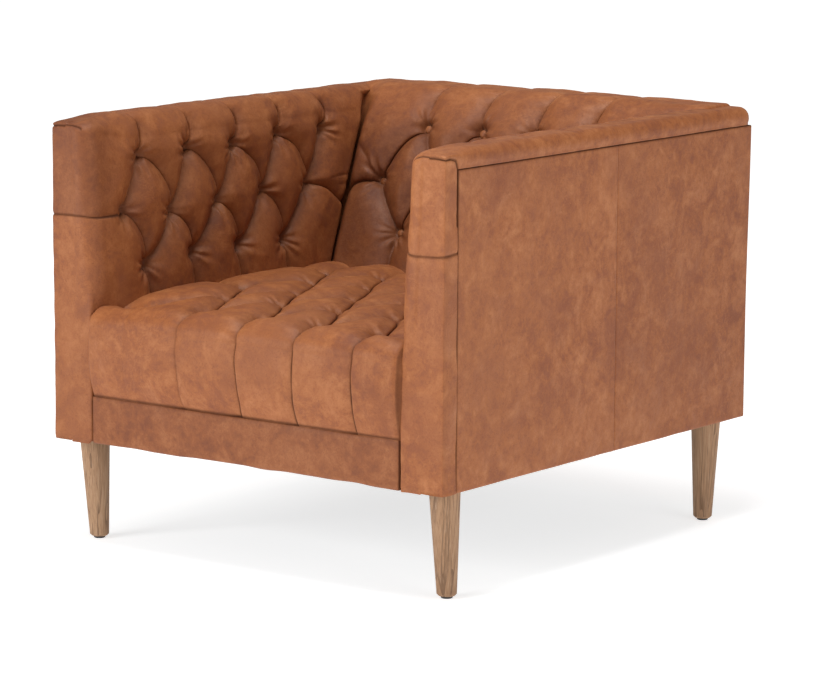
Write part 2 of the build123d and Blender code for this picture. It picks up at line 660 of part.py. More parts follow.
def build_upholstery():
    cover, foam, buttons, arm_twines = arm_parts()
    keep("right_arm_cover", cover)
    keep("left_arm_cover", mirrored(cover))
    keep("right_arm_foam", foam)
    keep("left_arm_foam", mirrored(foam))
    keep("right_arm_buttons", buttons)
    keep("left_arm_buttons", [mirrored(item) for item in buttons])
    back_cover, back_foam, back_buttons, back_twines = back_parts()
    keep("inside_back_cover", back_cover)
    keep("back_foam", back_foam)
    keep("back_buttons", back_buttons)
    seat_cover, seat_foam, seat_buttons, seat_twines = seat_parts()
    keep("seat_cover", seat_cover)
    keep("seat_foam", seat_foam)
    keep("seat_buttons", seat_buttons)
    keep("tufting_twines", arm_twines, [mirrored(item) for item in arm_twines], back_twines, seat_twines)
    strips = arm_webbing()
    keep("arm_webbing", strips, [mirrored(strip) for strip in strips])
    keep("back_webbing", back_webbing())


def build_flat_layers():
    board, wadding, front, rear = side_layers()
    keep("right_side_board", board)
    keep("left_side_board", mirrored(board))
    keep("side_wadding", wadding, mirrored(wadding))
    keep("right_outside_front_panel", front)
    keep("left_outside_front_panel", mirrored(front))
    keep("right_outside_rear_panel", rear)
    keep("left_outside_rear_panel", mirrored(rear))
    keep("front_wadding", front_wadding())
    keep("back_board", block(-FRAME_X, FRAME_X, FRAME_Y, BOARD_Y, FRAME_BOTTOM, BAND_SEAM))
    keep("back_wadding", block(-BOARD_X, BOARD_X, BOARD_Y, WAD_Y, FRAME_BOTTOM, BAND_SEAM))
    panel = block(0, WAD_X, WAD_Y, HALF_D, BODY_BOTTOM, BAND_SEAM)
    keep("right_outside_back_panel", panel)
    keep("left_outside_back_panel", mirrored(panel))
    half = ARM_INNER_SEAT
    keep("front_rail_cover", block(-half, half, FRONT_Y, FRONT_WAD_Y, BODY_BOTTOM, SEAT_SEAM))


def build_legs():
    glides = []
    bolts = []
    nuts = []
    places = []
    for end, y, rake in (("front", FRONT_LEG_Y, FRONT_RAKE), ("rear", REAR_LEG_Y, -REAR_RAKE)):
        right = leg(y, rake)
        keep(f"right_{end}_leg", right)
        keep(f"left_{end}_leg", mirrored(right))
        for make, group in ((lambda: glide(y, rake), glides), (lambda: hanger_bolt(y), bolts),
                            (lambda: tee_nut(y), nuts)):
            item = make()
            group += [item, mirrored(item)]
        places += [(LEG_X, y), (-LEG_X, y)]
    keep("leg_glides", glides)
    keep("hanger_bolts", bolts)
    keep("tee_nuts", nuts)
    keep("dust_cover", dust_cover(places))


def write_parts():
    os.makedirs("parts", exist_ok=True)
    for name, solids in PARTS.items():
        shape = solids[0] if len(solids) == 1 else Compound(children=solids)
        export_step(shape, f"parts/{name}.step")
        print(name, len(solids), "solids", round(sum(solid.volume for solid in solids) / 1000, 1), "cm3")


build_frame()
build_springs()
build_upholstery()
build_flat_layers()
build_legs()
write_parts()
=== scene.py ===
import json
import math

import bmesh
import bpy
import numpy as np
from mathutils import Matrix, Vector


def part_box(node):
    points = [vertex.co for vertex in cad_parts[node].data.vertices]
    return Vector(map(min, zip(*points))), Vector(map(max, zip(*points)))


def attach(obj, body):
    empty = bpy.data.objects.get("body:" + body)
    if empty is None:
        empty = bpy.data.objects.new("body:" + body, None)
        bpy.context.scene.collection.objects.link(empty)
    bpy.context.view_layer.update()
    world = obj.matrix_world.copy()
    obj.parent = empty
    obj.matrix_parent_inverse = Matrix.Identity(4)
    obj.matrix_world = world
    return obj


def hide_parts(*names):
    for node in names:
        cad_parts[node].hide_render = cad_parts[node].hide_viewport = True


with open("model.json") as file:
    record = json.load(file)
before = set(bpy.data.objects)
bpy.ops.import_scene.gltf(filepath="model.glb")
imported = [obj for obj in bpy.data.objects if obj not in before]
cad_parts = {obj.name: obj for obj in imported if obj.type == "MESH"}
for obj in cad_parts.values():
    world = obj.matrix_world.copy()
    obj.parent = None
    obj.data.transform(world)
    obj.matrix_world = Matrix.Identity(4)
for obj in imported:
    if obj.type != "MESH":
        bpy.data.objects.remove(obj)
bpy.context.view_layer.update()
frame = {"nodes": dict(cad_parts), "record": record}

# ---- sizes, in metres ----
ARM_LOW, ARM_HIGH = np.array(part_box("right_arm_cover"))
BACK_LOW, BACK_HIGH = np.array(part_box("inside_back_cover"))
SEAT_LOW, SEAT_HIGH = np.array(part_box("seat_cover"))
APRON_LOW, APRON_HIGH = np.array(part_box("front_rail_cover"))
FRONT_PANEL_LOW, FRONT_PANEL_HIGH = np.array(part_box("right_outside_front_panel"))
REAR_PANEL_LOW, REAR_PANEL_HIGH = np.array(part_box("right_outside_rear_panel"))
BACK_PANEL_LOW, BACK_PANEL_HIGH = np.array(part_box("right_outside_back_panel"))
DUST_LOW, DUST_HIGH = np.array(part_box("dust_cover"))

ARM_KNEE_Z = 0.390           # the inner arm is upright below this height
ARM_LEAN = 0.022 / 0.310     # outward run of the inner arm for each metre above it
BACK_LEAN = 0.4476           # backward run of the inner back for each metre of height
BACK_AT_SEAT = (0.199, 0.397)  # Y and Z of a point of the inner back, at its corner with the arm
ROW_Z = (0.640, 0.547, 0.464)            # rows of buttons on the arms and the back
ARM_FIRST_Y = (-0.301, -0.349, -0.301)   # front button of each row
ARM_PITCH = 0.122
ARM_ROW_SAG = ((0.006, 0.005, 0.007, 0, 0), (0, 0.012, 0.005, 0, 0), (0.008, 0, 0.002, 0.004))
ARM_THICK = ARM_HIGH[0] - ARM_LOW[0]
WRAP_Y = FRONT_PANEL_LOW[1]  # the arm's front leather comes round the corner as far as this
BAND_Z = FRONT_PANEL_HIGH[2]  # lower edge of the band along the top of the arm
PITCH = 0.117                # across the back and the seat
SEAT_FIRST_Y = -0.378
SEAT_ROW_PITCH = 0.116
SEAT_ROWS = 5
ARM_CROWN, ARM_RELIEF = 0.020, 0.030     # pillow tops above the plain surface, and their height
BACK_CROWN, BACK_RELIEF = 0.036, 0.027
SEAT_CROWN, SEAT_RELIEF = 0.019, 0.029
PANEL_THICK = 0.0055         # what is seen of an outside panel
STEP = 0.0020                # spacing of the tufted meshes' points
SEAM_HALF = 0.0009           # half the width of the step at a seam
TINY = 1e-6                  # a point nearer than this is on the face
SEAM_DROP = 0.004            # how far a cover's hidden part steps in behind a panel
CORNER_SWELL = 0.022         # fills out the rounded corners of the arm fronts
REAR_FLARE = 0.007           # how far the top of the body leans out at the rear


# ---- numpy helpers ----
def smooth_noise(points, cell, seed):
    """Seeded noise from -1 to 1, with features about a cell across."""
    table = np.random.RandomState(seed).uniform(-1, 1, (32, 32, 32))
    place = points / cell
    base = np.floor(place).astype(int)
    part = place - base
    part = part * part * (3 - 2 * part)
    total = np.zeros(len(points))
    for corner in np.ndindex(2, 2, 2):
        weight = np.ones(len(points))
        for axis in range(3):
            weight = weight * (part[:, axis] if corner[axis] else 1 - part[:, axis])
        spot = (base + corner) % 32
        total += weight * table[spot[:, 0], spot[:, 1], spot[:, 2]]
    return total


def ease(value, low, high):
    """0 below low, 1 above high, smooth between."""
    t = np.clip((value - low) / (high - low), 0, 1)
    return t * t * (3 - 2 * t)


def ticks(low, high, step, *extra):
    """Evenly spaced ticks from low to high, with some more at given places."""
    count = max(2, int(round((high - low) / step)))
    return np.unique(np.concatenate([np.linspace(low, high, count + 1), np.array(extra, float)]).round(6))


def box_lattice(xs, ys, zs):
    """A box's surface as points and outward quads, one tick list for each axis."""
    counts = (len(xs), len(ys), len(zs))
    faces = []
    for axis in range(3):
        a, b = [k for k in range(3) if k != axis]
        grid_a, grid_b = np.meshgrid(np.arange(counts[a]), np.arange(counts[b]), indexing="ij")
        for end in (0, counts[axis] - 1):
            spot = [None, None, None]
            spot[a], spot[b], spot[axis] = grid_a, grid_b, np.full_like(grid_a, end)
            key = (spot[0] * counts[1] + spot[1]) * counts[2] + spot[2]
            quads = np.stack([key[:-1, :-1], key[1:, :-1], key[1:, 1:], key[:-1, 1:]], -1).reshape(-1, 4)
            outward = (end > 0) != (axis == 1)
            faces.append(quads if outward else quads[:, ::-1])
    faces = np.concatenate(faces)
    keys, index = np.unique(faces, return_inverse=True)
    rest, k = np.divmod(keys, counts[2])
    i, j = np.divmod(rest, counts[1])
    return np.stack([xs[i], ys[j], zs[k]], 1), index.reshape(-1, 4)


def rounded(points, low, high, low_radius, high_radius):
    """Surface points of a box pulled on to rounded edges, and their outward normals."""
    core = np.clip(points, low + low_radius, high - high_radius)
    radius = np.where(points > core, high_radius, low_radius)
    away = (points - core) / radius
    away /= np.linalg.norm(away, axis=1)[:, None]
    normal = away / radius
    return core + away * radius, normal / np.linalg.norm(normal, axis=1)[:, None]


def add_object(name, data):
    """A new object in the scene, for a mesh, a light or a camera."""
    made = bpy.data.objects.new(name, data)
    bpy.context.scene.collection.objects.link(made)
    return made


def add_bmesh(name, build):
    """A mesh object from a bmesh, which is freed."""
    data = bpy.data.meshes.new(name)
    build.to_mesh(data)
    build.free()
    return add_object(name, data)


def add_mesh(name, points, quads, attributes=None, mirror_x=False):
    """A smooth-shaded mesh object from arrays, with float attributes on its points."""
    if mirror_x:
        points = points * (-1, 1, 1)
        quads = quads[:, ::-1]
    mesh = bpy.data.meshes.new(name)
    mesh.vertices.add(len(points))
    mesh.vertices.foreach_set("co", points.astype(np.float32).ravel())
    mesh.loops.add(quads.size)
    mesh.loops.foreach_set("vertex_index", quads.astype(np.int32).ravel())
    mesh.polygons.add(len(quads))
    mesh.polygons.foreach_set("loop_start", np.arange(0, quads.size, 4, dtype=np.int32))
    mesh.update(calc_edges=True)
    mesh.validate()
    mesh.shade_smooth()
    for key, values in (attributes or {}).items():
        layer = mesh.attributes.new(key, "FLOAT", "POINT")
        layer.data.foreach_set("value", values.astype(np.float32))
    return add_object(name, mesh)


def flared(points):
    """Lean the upper rear of the body outwards a little."""
    shift = REAR_FLARE * ease(points[:, 1], 0.22, 0.43) * ease(points[:, 2], 0.34, 0.70)
    return points + shift[:, None] * (0, 1, 0)


def trimmed(points, quads, drop):
    """Leave out the quads whose centres drop() picks, and the points that only they used."""
    kept = quads[~drop(points[quads].mean(1))]
    used, index = np.unique(kept, return_inverse=True)
    return points[used], index.reshape(-1, 4)


# ---- pleats and buttons ----
class Tufting:
    """Buttons and the pleats between them, drawn on a pad's surface in two coordinates.
    Depths are measured from the tops of the pillows."""

    def __init__(self, seed, relief, rows=()):
        self.random = np.random.RandomState(seed)
        self.relief = relief
        self.buttons = [place for row in rows for place in row]
        self.pleats = []

    def pleat(self, start, end, depths, lip=0, reach=0.044, bow=0.0, line=0.3, sharp=0.6):
        """A pleat from start to end, with its depth at the start, the middle and the end.
        lip is the side that laps over: 1 for the left of the way it runs, -1 for the right, 0 for none.
        reach is how wide the pleat opens, as a number or a pair for the lip's side and the other side,
        bow how far it curves as a share of its length, and line how dark the painted shadow line along its
        bottom is.
        A smaller sharp gives a steeper crease between rounder pillows."""
        start, end = np.array(start, float), np.array(end, float)
        across = np.array([start[1] - end[1], end[0] - start[0]])
        t = np.linspace(0, 1, 9)[:, None]
        wander = bow + self.random.uniform(-0.025, 0.025)
        path = start + (end - start) * t + across * wander * 4 * t * (1 - t)
        scale = self.random.uniform(0.90, 1.10)
        depths = (depths[0], depths[1] * scale, depths[2])
        self.pleats.append((path, depths, lip, np.broadcast_to(reach, 2), line, sharp))

    def field(self, u, v):
        """Dent, a painted shadow that fades with distance from a pleat's line, and the sideways pull of the
        lips, at each point.
        """
        dent, strongest, line_shadow = np.zeros(len(u)), np.zeros(len(u)), np.zeros(len(u))
        pull = np.zeros((len(u), 2))
        here = np.stack([u, v], 1)
        for path, depths, lip, reach, line, sharp in self.pleats:
            widest = max(reach)
            near = np.where(((here > path.min(0) - widest) & (here < path.max(0) + widest)).all(1))[0]
            best = np.full(len(near), np.inf)
            along, side, away = np.zeros(len(near)), np.zeros(len(near)), np.zeros((len(near), 2))
            fold_side = lip or 1
            pieces = len(path) - 1
            for number in range(pieces):
                a, d = path[number], path[number + 1] - path[number]
                t = np.clip(((here[near] - a) @ d) / (d @ d), 0, 1)
                offset = here[near] - a - t[:, None] * d
                distance = np.linalg.norm(offset, axis=1)
                closer = distance < best
                best[closer] = distance[closer]
                along[closer] = (number + t[closer]) / pieces
                turn = d[0] * offset[closer, 1] - d[1] * offset[closer, 0]
                side[closer] = turn / (np.linalg.norm(d) * np.maximum(distance[closer], TINY))
                away[closer] = offset[closer]
            first, middle, last = depths
            depth = middle + (np.where(along < 0.5, first, last) - middle) * np.abs(2 * along - 1) ** 2
            over = side * fold_side > 0
            leaning = 0.5 + 0.5 * np.clip(side * fold_side, -1, 1)
            x = np.clip(best / (reach[1] + (reach[0] - reach[1]) * leaning), 0, 1)
            dip = depth * (1 - (1 - (1 - x) ** 2) ** sharp)
            deeper = dip > strongest[near]
            strongest[near] = np.maximum(strongest[near], dip)
            dent[near] += dip ** 4
            # painted shadow line along the pleat's bottom, darker for a deeper pleat
            line_shadow_stroke = line * np.exp(-((best / 0.0019) ** 2)) * np.clip(depth / 0.004, 0, 1)
            line_shadow[near] = np.maximum(line_shadow[near], line_shadow_stroke)
            amount = 0.24 * depth * np.exp(-(((best - 0.005) / 0.004) ** 2)) * over * abs(lip)
            aim = -away / np.maximum(best, 1e-5)[:, None] * amount[:, None]
            pull[near[deeper]] = aim[deeper]
        return dent ** 0.25, line_shadow, pull

    def pits(self, u, v, rim, floor=0.008):
        """The dent of the buttons alone, and the fine folds that gather round them."""
        dent, folds = np.zeros(len(u)), np.zeros(len(u))
        for bu, bv in self.buttons:
            r = np.hypot(u - bu, v - bv)
            x = np.clip((r - floor) / rim, 0, 1)
            dent = np.maximum(dent, self.relief * (1 - (1 - (1 - x) ** 2) ** 0.7))
            spokes = self.random.randint(8, 13)
            phase = self.random.uniform(0, 6.3)
            angle = np.arctan2(v - bv, u - bu)
            ring = np.exp(-(((r - 0.022) / 0.014) ** 2))
            twist = 0.9 * np.sin(3 * angle + phase) + r * 22
            folds += ring * np.sin(spokes * angle + twist + phase) * (0.7 + 0.5 * np.sin(angle + phase))
        return dent, folds


def leather_relief(points, seed):
    """Soft unevenness of a stuffed cover, in metres."""
    return (0.0012 * smooth_noise(points, 0.060, seed) + 0.0007 * smooth_noise(points, 0.026, seed + 1)
            + 0.00025 * smooth_noise(points, 0.011, seed + 2))


def tufted_surface(points, normal, plan, u, v, tangent_u, tangent_v, seed, crown, strength,
                   rim=0.026, pucker=0.0021):
    """Raise the pillows and press in the pleats and buttons. Returns the new points and the attributes, with
    painted shade in the dents and painted shadow lines along the pleats.
    """
    plane = np.stack([u, v, np.zeros(len(u))], 1)
    bend_u = 0.0025 * smooth_noise(plane, 0.035, seed + 5)
    bend_v = 0.0025 * smooth_noise(plane, 0.035, seed + 6)
    dent, line_shadow, pull = plan.field(u + bend_u, v + bend_v)
    pit, folds = plan.pits(u, v, rim)
    dent = np.minimum((dent ** 4 + pit ** 4) ** 0.25, plan.relief) * strength
    height = crown - dent + pucker * folds * strength + leather_relief(points, seed)
    moved = points + normal * height[:, None]
    moved = moved + (tangent_u * pull[:, :1] + tangent_v * pull[:, 1:]) * np.reshape(strength, (-1, 1))
    # painted shade in the pleat valleys and button pits, darker the deeper the dent
    fold_shade = np.clip(dent / plan.relief, 0, 1)
    # the crease attribute here holds the pleats' painted shadow lines
    return moved, {"fold_shade": fold_shade, "crease": np.clip(line_shadow * strength, 0, 1)}


def neighbours(rows, pitch):
    """Each button with the nearest ones of the next row."""
    for row, next_row in zip(rows, rows[1:]):
        for a in row:
            for b in next_row:
                if abs(a[0] - b[0]) < pitch * 0.65:
                    yield a, b


def back_y(z):
    """Y of the inner back's plain surface at a height."""
    return BACK_AT_SEAT[0] + (z - BACK_AT_SEAT[1]) * BACK_LEAN


def back_fullness(z):
    """How full the back's pillows are at a height: less near the top edge."""
    return 0.35 + 0.65 * ease(BACK_HIGH[2] - z, 0.0, 0.090)


def arm_inner_x(z):
    """X of the right inner arm's plain surface at a height."""
    return ARM_LOW[0] + np.maximum(z - ARM_KNEE_Z, 0) * ARM_LEAN


# ---- arm covers ----
def arm_tufting(seed):
    """Button plan of an inner arm: u is Y, v is Z, carried on over the top edge.
    The arm's front face carries on u past the front edge, and the return on the outside past that."""
    top, front = ARM_HIGH[2], ARM_LOW[1]
    rows = []
    for z, first_y, sags in zip(ROW_Z, ARM_FIRST_Y, ARM_ROW_SAG):
        rows.append([(first_y + k * ARM_PITCH, z - sag) for k, sag in enumerate(sags)])
    plan = Tufting(seed, ARM_RELIEF, rows)
    deep, mid = ARM_RELIEF, ARM_RELIEF * 0.84
    for a, b in neighbours(rows, ARM_PITCH):
        if b[0] > a[0]:
            plan.pleat(a, b, (deep, mid, deep), lip=-1, reach=(0.044, 0.056), bow=0.16, line=1.6, sharp=0.52)
        else:
            plan.pleat(a, b, (deep, mid * 0.92, deep), reach=0.052, bow=0.05, line=0.0, sharp=0.74)
    for u, v in rows[0]:
        bow = plan.random.uniform(-0.26, -0.10)
        edge = (u + 0.004, top - 0.004)
        plan.pleat((u, v), edge, (deep, 0.018, 0.006), lip=-1, reach=(0.034, 0.046), bow=bow, line=0.4)
        plan.pleat(edge, (u - 0.010, top + 0.075), (0.006, 0.0022, 0.0004), reach=0.03, bow=0.10, line=0.15)
    for u, v in rows[2]:
        plan.pleat((u, v), (u + 0.006, v - 0.11), (deep, 0.021, 0.014), reach=0.048, bow=0.04, line=0.1)
    first, last = rows[1][0], rows[1][-1]
    edge = (front + 0.010, first[1] - 0.001)
    plan.pleat(first, edge, (0.022, 0.0050, 0.0030), lip=1, reach=(0.005, 0.022), line=1.4)
    plan.pleat(edge, (front - 0.125, first[1]), (0.0030, 0.0026, 0.0024), lip=1, reach=(0.003, 0.009),
               line=1.3)
    plan.pleat(last, (last[0] + 0.100, 0.486), (deep, 0.014, 0.010), lip=-1, reach=(0.014, 0.036), bow=0.12,
               line=0.7)
    for fall, reach in ((0.010, 0.009), (-0.006, 0.012), (-0.022, 0.009)):
        end = (last[0] + 0.105, last[1] + fall)
        plan.pleat(last, end, (deep, 0.0024, 0.002), reach=reach, line=0.15)
    return plan


def arm_front_seam():
    """The seam where the top band folds over the arm's front, in the same coordinates as arm_tufting."""
    top, front, far = ARM_HIGH[2], ARM_LOW[1], ARM_LOW[1] - ARM_THICK
    wrap = far - (WRAP_Y - front)
    corners = [(front + 0.006, top - 0.016), (front - 0.002, top - 0.009), (front - 0.012, top - 0.0060),
               (far + 0.020, top - 0.0055), (far - 0.012, top - 0.006), (wrap + 0.008, top - 0.010),
               (wrap + 0.0015, top - 0.022), (wrap, top - 0.110)]
    seam = Tufting(5, 0.003)
    for a, b in zip(corners, corners[1:]):
        seam.pleat(a, b, (0.0030, 0.0030, 0.0030), reach=0.0050, line=1.5, sharp=0.6)
    return seam


def arm_lattice():
    """The arm's box as points and quads, without what other pieces cover."""
    low, high = ARM_LOW, ARM_HIGH
    flat, quads = box_lattice(ticks(low[0], high[0], STEP),
                              ticks(low[1], high[1], STEP, WRAP_Y - SEAM_HALF, WRAP_Y + SEAM_HALF),
                              ticks(low[2], high[2], STEP, BAND_Z - SEAM_HALF, BAND_Z + SEAM_HALF))

    def hidden(c):
        below_band = c[:, 2] < BAND_Z - 0.012
        outside = (c[:, 0] > high[0] - TINY) & (c[:, 1] > WRAP_Y + 0.012) & below_band
        rear = (c[:, 1] > high[1] - TINY) & below_band
        under_seat = (c[:, 2] < 0.33) & (c[:, 1] > low[1] + 0.03)
        behind_back = (c[:, 1] > back_y(c[:, 2]) + 0.06) & (c[:, 2] < 0.65)
        inside = (c[:, 0] < low[0] + TINY) & (under_seat | behind_back)
        return (c[:, 2] < low[2] + TINY) | outside | rear | inside

    return trimmed(flat, quads, hidden)


def arm_shape(flat):
    """The arm's points on rounded edges, leaning outwards above the knee, and their normals."""
    low, high = ARM_LOW, ARM_HIGH
    outer = (flat[:, 0] > (low[0] + high[0]) / 2)[:, None]
    high_radius = np.tile((0.021, 0.020, 0.020), (len(flat), 1))
    high_radius[:, 2] += 0.012 * ~outer[:, 0] * ease(flat[:, 1], low[1] + 0.03, low[1] + 0.12)
    soft_radius = np.where(outer, (0.024, 0.021, 0.006), (0.030, 0.032, 0.006))
    tight_radius = np.where(outer, (0.005, 0.021, 0.006), (0.005, 0.005, 0.006))
    soft = rounded(flat, low, high, soft_radius, high_radius)
    tight = rounded(flat, low, high, tight_radius, high_radius)
    above_seat = ease(flat[:, 2], 0.36, 0.45)[:, None]
    points, normal = (tight[k] + (soft[k] - tight[k]) * above_seat for k in range(2))
    normal /= np.linalg.norm(normal, axis=1)[:, None]
    lean = np.maximum(points[:, 2] - ARM_KNEE_Z, 0) * ARM_LEAN
    points[:, 0] = high[0] - (high[0] - points[:, 0]) * (ARM_THICK - lean) / ARM_THICK
    return points, normal


def arm_place(flat):
    """The arm's points in arm_tufting's coordinates, which of them are on the top,
    and which are on the front or its return."""
    low, high = ARM_LOW, ARM_HIGH
    into = flat[:, 0] - low[0]
    on_top = flat[:, 2] > high[2] - TINY
    on_front = (flat[:, 1] < low[1] + TINY) & ~on_top
    on_outside = (flat[:, 0] > high[0] - TINY) & ~on_top
    on_return = on_outside & (flat[:, 1] < WRAP_Y + 0.02)
    u = np.where(on_front, low[1] - into, flat[:, 1])
    u = np.where(on_return, low[1] - ARM_THICK - (flat[:, 1] - low[1]), u)
    v = np.where(on_top, high[2] + into, flat[:, 2])
    v = np.where(on_outside & ~on_return, high[2] + ARM_THICK + high[2] - flat[:, 2], v)
    return u, v, on_top, on_front | on_return


def arm_cover(side):
    """Inner arm, arm front, top band and the front return of one arm, as one leather skin."""
    seed = 11 if side == "right" else 47
    low, high = ARM_LOW, ARM_HIGH
    flat, quads = arm_lattice()
    points, normal = arm_shape(flat)
    u, v, on_top, on_front = arm_place(flat)
    inner_w = np.clip(-normal[:, 0], 0, 1)
    top_w = np.clip(normal[:, 2], 0, 1)
    inside = (flat[:, 0] < low[0] + 0.030) & ~on_top
    from_back = np.where(inside, ease(back_y(flat[:, 2]) - flat[:, 1], -0.004, 0.034), 1.0)
    lengthwise = ease(flat[:, 1], low[1] + 0.006, low[1] + 0.085)
    below_top = 0.42 + 0.58 * ease(high[2] - flat[:, 2], 0.0, 0.060)
    crown = ARM_CROWN * lengthwise * below_top * inner_w * from_back
    crown += (0.0060 * lengthwise + 0.0015) * top_w
    crown += CORNER_SWELL * (1 - np.abs(normal).max(1)) * (1 - lengthwise) * ease(normal[:, 0], -0.45, 0.05)
    crown += 0.012 * inner_w * (1 - lengthwise) * ease(flat[:, 2], 0.38, 0.46)
    crown -= 0.010 * inner_w * (1 - from_back)
    tangent_u = inner_w[:, None] * (0.0, 1.0, 0.0)
    tangent_v = inner_w[:, None] * (0.0, 0.0, 1.0)
    moved, marks = tufted_surface(points, normal, arm_tufting(seed), u, v, tangent_u, tangent_v,
                                  seed, crown, from_back)
    # the front seam's dark line, partly painted shadow under the band's fold
    seam, seam_line_and_shadow, _ = arm_front_seam().field(u, v)
    under_panel = (flat[:, 0] > high[0] - TINY) & (flat[:, 1] > WRAP_Y) | (flat[:, 1] > high[1] - TINY)
    under_panel &= flat[:, 2] < BAND_Z
    moved -= normal * (seam * on_front + SEAM_DROP * under_panel)[:, None]
    # painted shadow along that seam, and painted shade on the parts stepped in behind the panels
    marks["crease"] = np.maximum(marks["crease"], np.maximum(seam_line_and_shadow * on_front, under_panel))
    # the leather's own tone on the arm fronts mixed with painted shade, eased to one value on the inner face
    upper_front = (1 - ease(flat[:, 1], low[1] + 0.03, low[1] + 0.10)) * ease(flat[:, 2], 0.547, 0.549)
    front_tone_and_shade = 0.30 - 0.16 * upper_front if side == "right" else 0.60 + 0.60 * upper_front
    marks["tone_and_shade"] = front_tone_and_shade + (0.5 - front_tone_and_shade) * inner_w * ease(flat[:, 1], low[1] + 0.02, low[1] + 0.09)
    return add_mesh(f"{side}_arm_upholstery", flared(moved), quads, marks, mirror_x=side == "left")


# ---- back cover ----
def back_tufting(seed):
    """Button plan of the inner back: u is X, v is Z, carried on over the top edge."""
    top = BACK_HIGH[2]
    rows = []
    for number, z in enumerate(ROW_Z):
        columns = (-2.06, -1, 0, 1, 2.06) if number == 1 else (-1.5, -0.5, 0.5, 1.5)
        rows.append([(c * PITCH, z - 0.002) for c in columns])
    plan = Tufting(seed, BACK_RELIEF, rows)
    deep, mid = BACK_RELIEF, BACK_RELIEF * 0.84
    for a, b in neighbours(rows, PITCH):
        if b[0] > a[0]:
            plan.pleat(a, b, (deep, mid * 0.9, deep), reach=0.052, bow=-0.04, line=0.2, sharp=0.66)
        else:
            plan.pleat(a, b, (deep, mid, deep), lip=-1, reach=(0.044, 0.054), bow=-0.10, line=1.4, sharp=0.54)
    for u, v in rows[0]:
        edge = (u + 0.003, top - 0.006)
        plan.pleat((u, v), edge, (deep, 0.018, 0.008), lip=-1, reach=(0.030, 0.046), bow=0.06, line=0.8)
        plan.pleat(edge, (u + 0.012, top + 0.12), (0.008, 0.0030, 0.0006), lip=-1, reach=(0.014, 0.034),
                   bow=-0.05, line=0.5)
    for u, v in rows[2]:
        plan.pleat((u, v), (u, v - 0.11), (deep, 0.020, 0.014), reach=0.048, line=0.2)
    for sign, start in ((-1, rows[1][0]), (1, rows[1][-1])):
        plan.pleat(start, (sign * 0.325, 0.502), (deep, 0.015, 0.010), lip=sign, reach=(0.018, 0.044),
                   bow=0.10 * sign, line=0.9)
        plan.pleat(start, (sign * 0.300, 0.600), (deep, 0.004, 0.002), reach=0.014, line=0.2)
    return plan


def back_cover():
    """Inner back, top roll and rear band, as one leather skin."""
    seed = 83
    thick = 0.105
    tuck = 0.030
    half = arm_inner_x(ARM_HIGH[2]) + tuck
    low = np.array([-half, BACK_HIGH[1] - thick, 0.33])
    high = np.array([half, BACK_HIGH[1], BACK_HIGH[2]])
    band_z = BACK_PANEL_HIGH[2]
    flat, quads = box_lattice(ticks(low[0], high[0], STEP), ticks(low[1], high[1], STEP),
                              ticks(low[2], high[2], STEP, band_z - SEAM_HALF, band_z + SEAM_HALF))

    def hidden(c):
        rear = (c[:, 1] > high[1] - TINY) & (c[:, 2] < band_z - 0.012)
        ends = (np.abs(c[:, 0]) > high[0] - TINY) & (c[:, 1] > low[1] + 0.05) & (c[:, 2] < 0.64)
        return (c[:, 2] < low[2] + TINY) | rear | ends

    flat, quads = trimmed(flat, quads, hidden)
    points, normal = rounded(flat, low, high, np.array([0.010, 0.030, 0.013]),
                             np.array([0.010, 0.022, 0.026]))
    inner_w = np.clip(-normal[:, 1], 0, 1)
    top_w = np.clip(normal[:, 2], 0, 1)
    width = arm_inner_x(points[:, 2]) + tuck
    points[:, 0] *= width / high[0]
    share = (high[1] - points[:, 1]) / thick
    points[:, 1] += share * (back_y(points[:, 2]) - low[1])
    normal[:, 2] += inner_w * BACK_LEAN
    normal /= np.linalg.norm(normal, axis=1)[:, None]
    on_top = flat[:, 2] > high[2] - TINY
    on_rear = (flat[:, 1] > high[1] - TINY) & ~on_top
    v = np.where(on_top, high[2] + (flat[:, 1] - low[1]), points[:, 2])
    v = np.where(on_rear, high[2] + thick + high[2] - flat[:, 2], v)
    tangent_u = inner_w[:, None] * (1.0, 0.0, 0.0)
    tangent_v = inner_w[:, None] * np.array([0.0, BACK_LEAN, 1.0]) / math.hypot(1.0, BACK_LEAN)
    from_side = width - np.abs(points[:, 0]) - tuck + 0.010
    side_fade = ease(from_side, 0.006, 0.048)
    crown = BACK_CROWN * inner_w * side_fade * back_fullness(points[:, 2])
    crown += top_w * (0.0010 + 0.0030 * (1 - (points[:, 0] / high[0]) ** 2))
    moved, marks = tufted_surface(points, normal, back_tufting(seed), points[:, 0], v, tangent_u, tangent_v,
                                  seed, crown, side_fade)
    moved -= normal * (SEAM_DROP * (on_rear & (flat[:, 2] < band_z)))[:, None]
    behind_arm = ease(-from_side, -0.016, -0.004) * np.clip(normal[:, 1], 0, 1)
    moved[:, 1] -= 0.003 * behind_arm
    # painted shade: the inner back darker than the top roll and rear, less so towards its top
    marks["tone_and_shade"] = 1.35 * inner_w * (1 - 0.5 * ease(points[:, 2], 0.60, 0.70))
    return add_mesh("inside_back_upholstery", flared(moved), quads, marks)


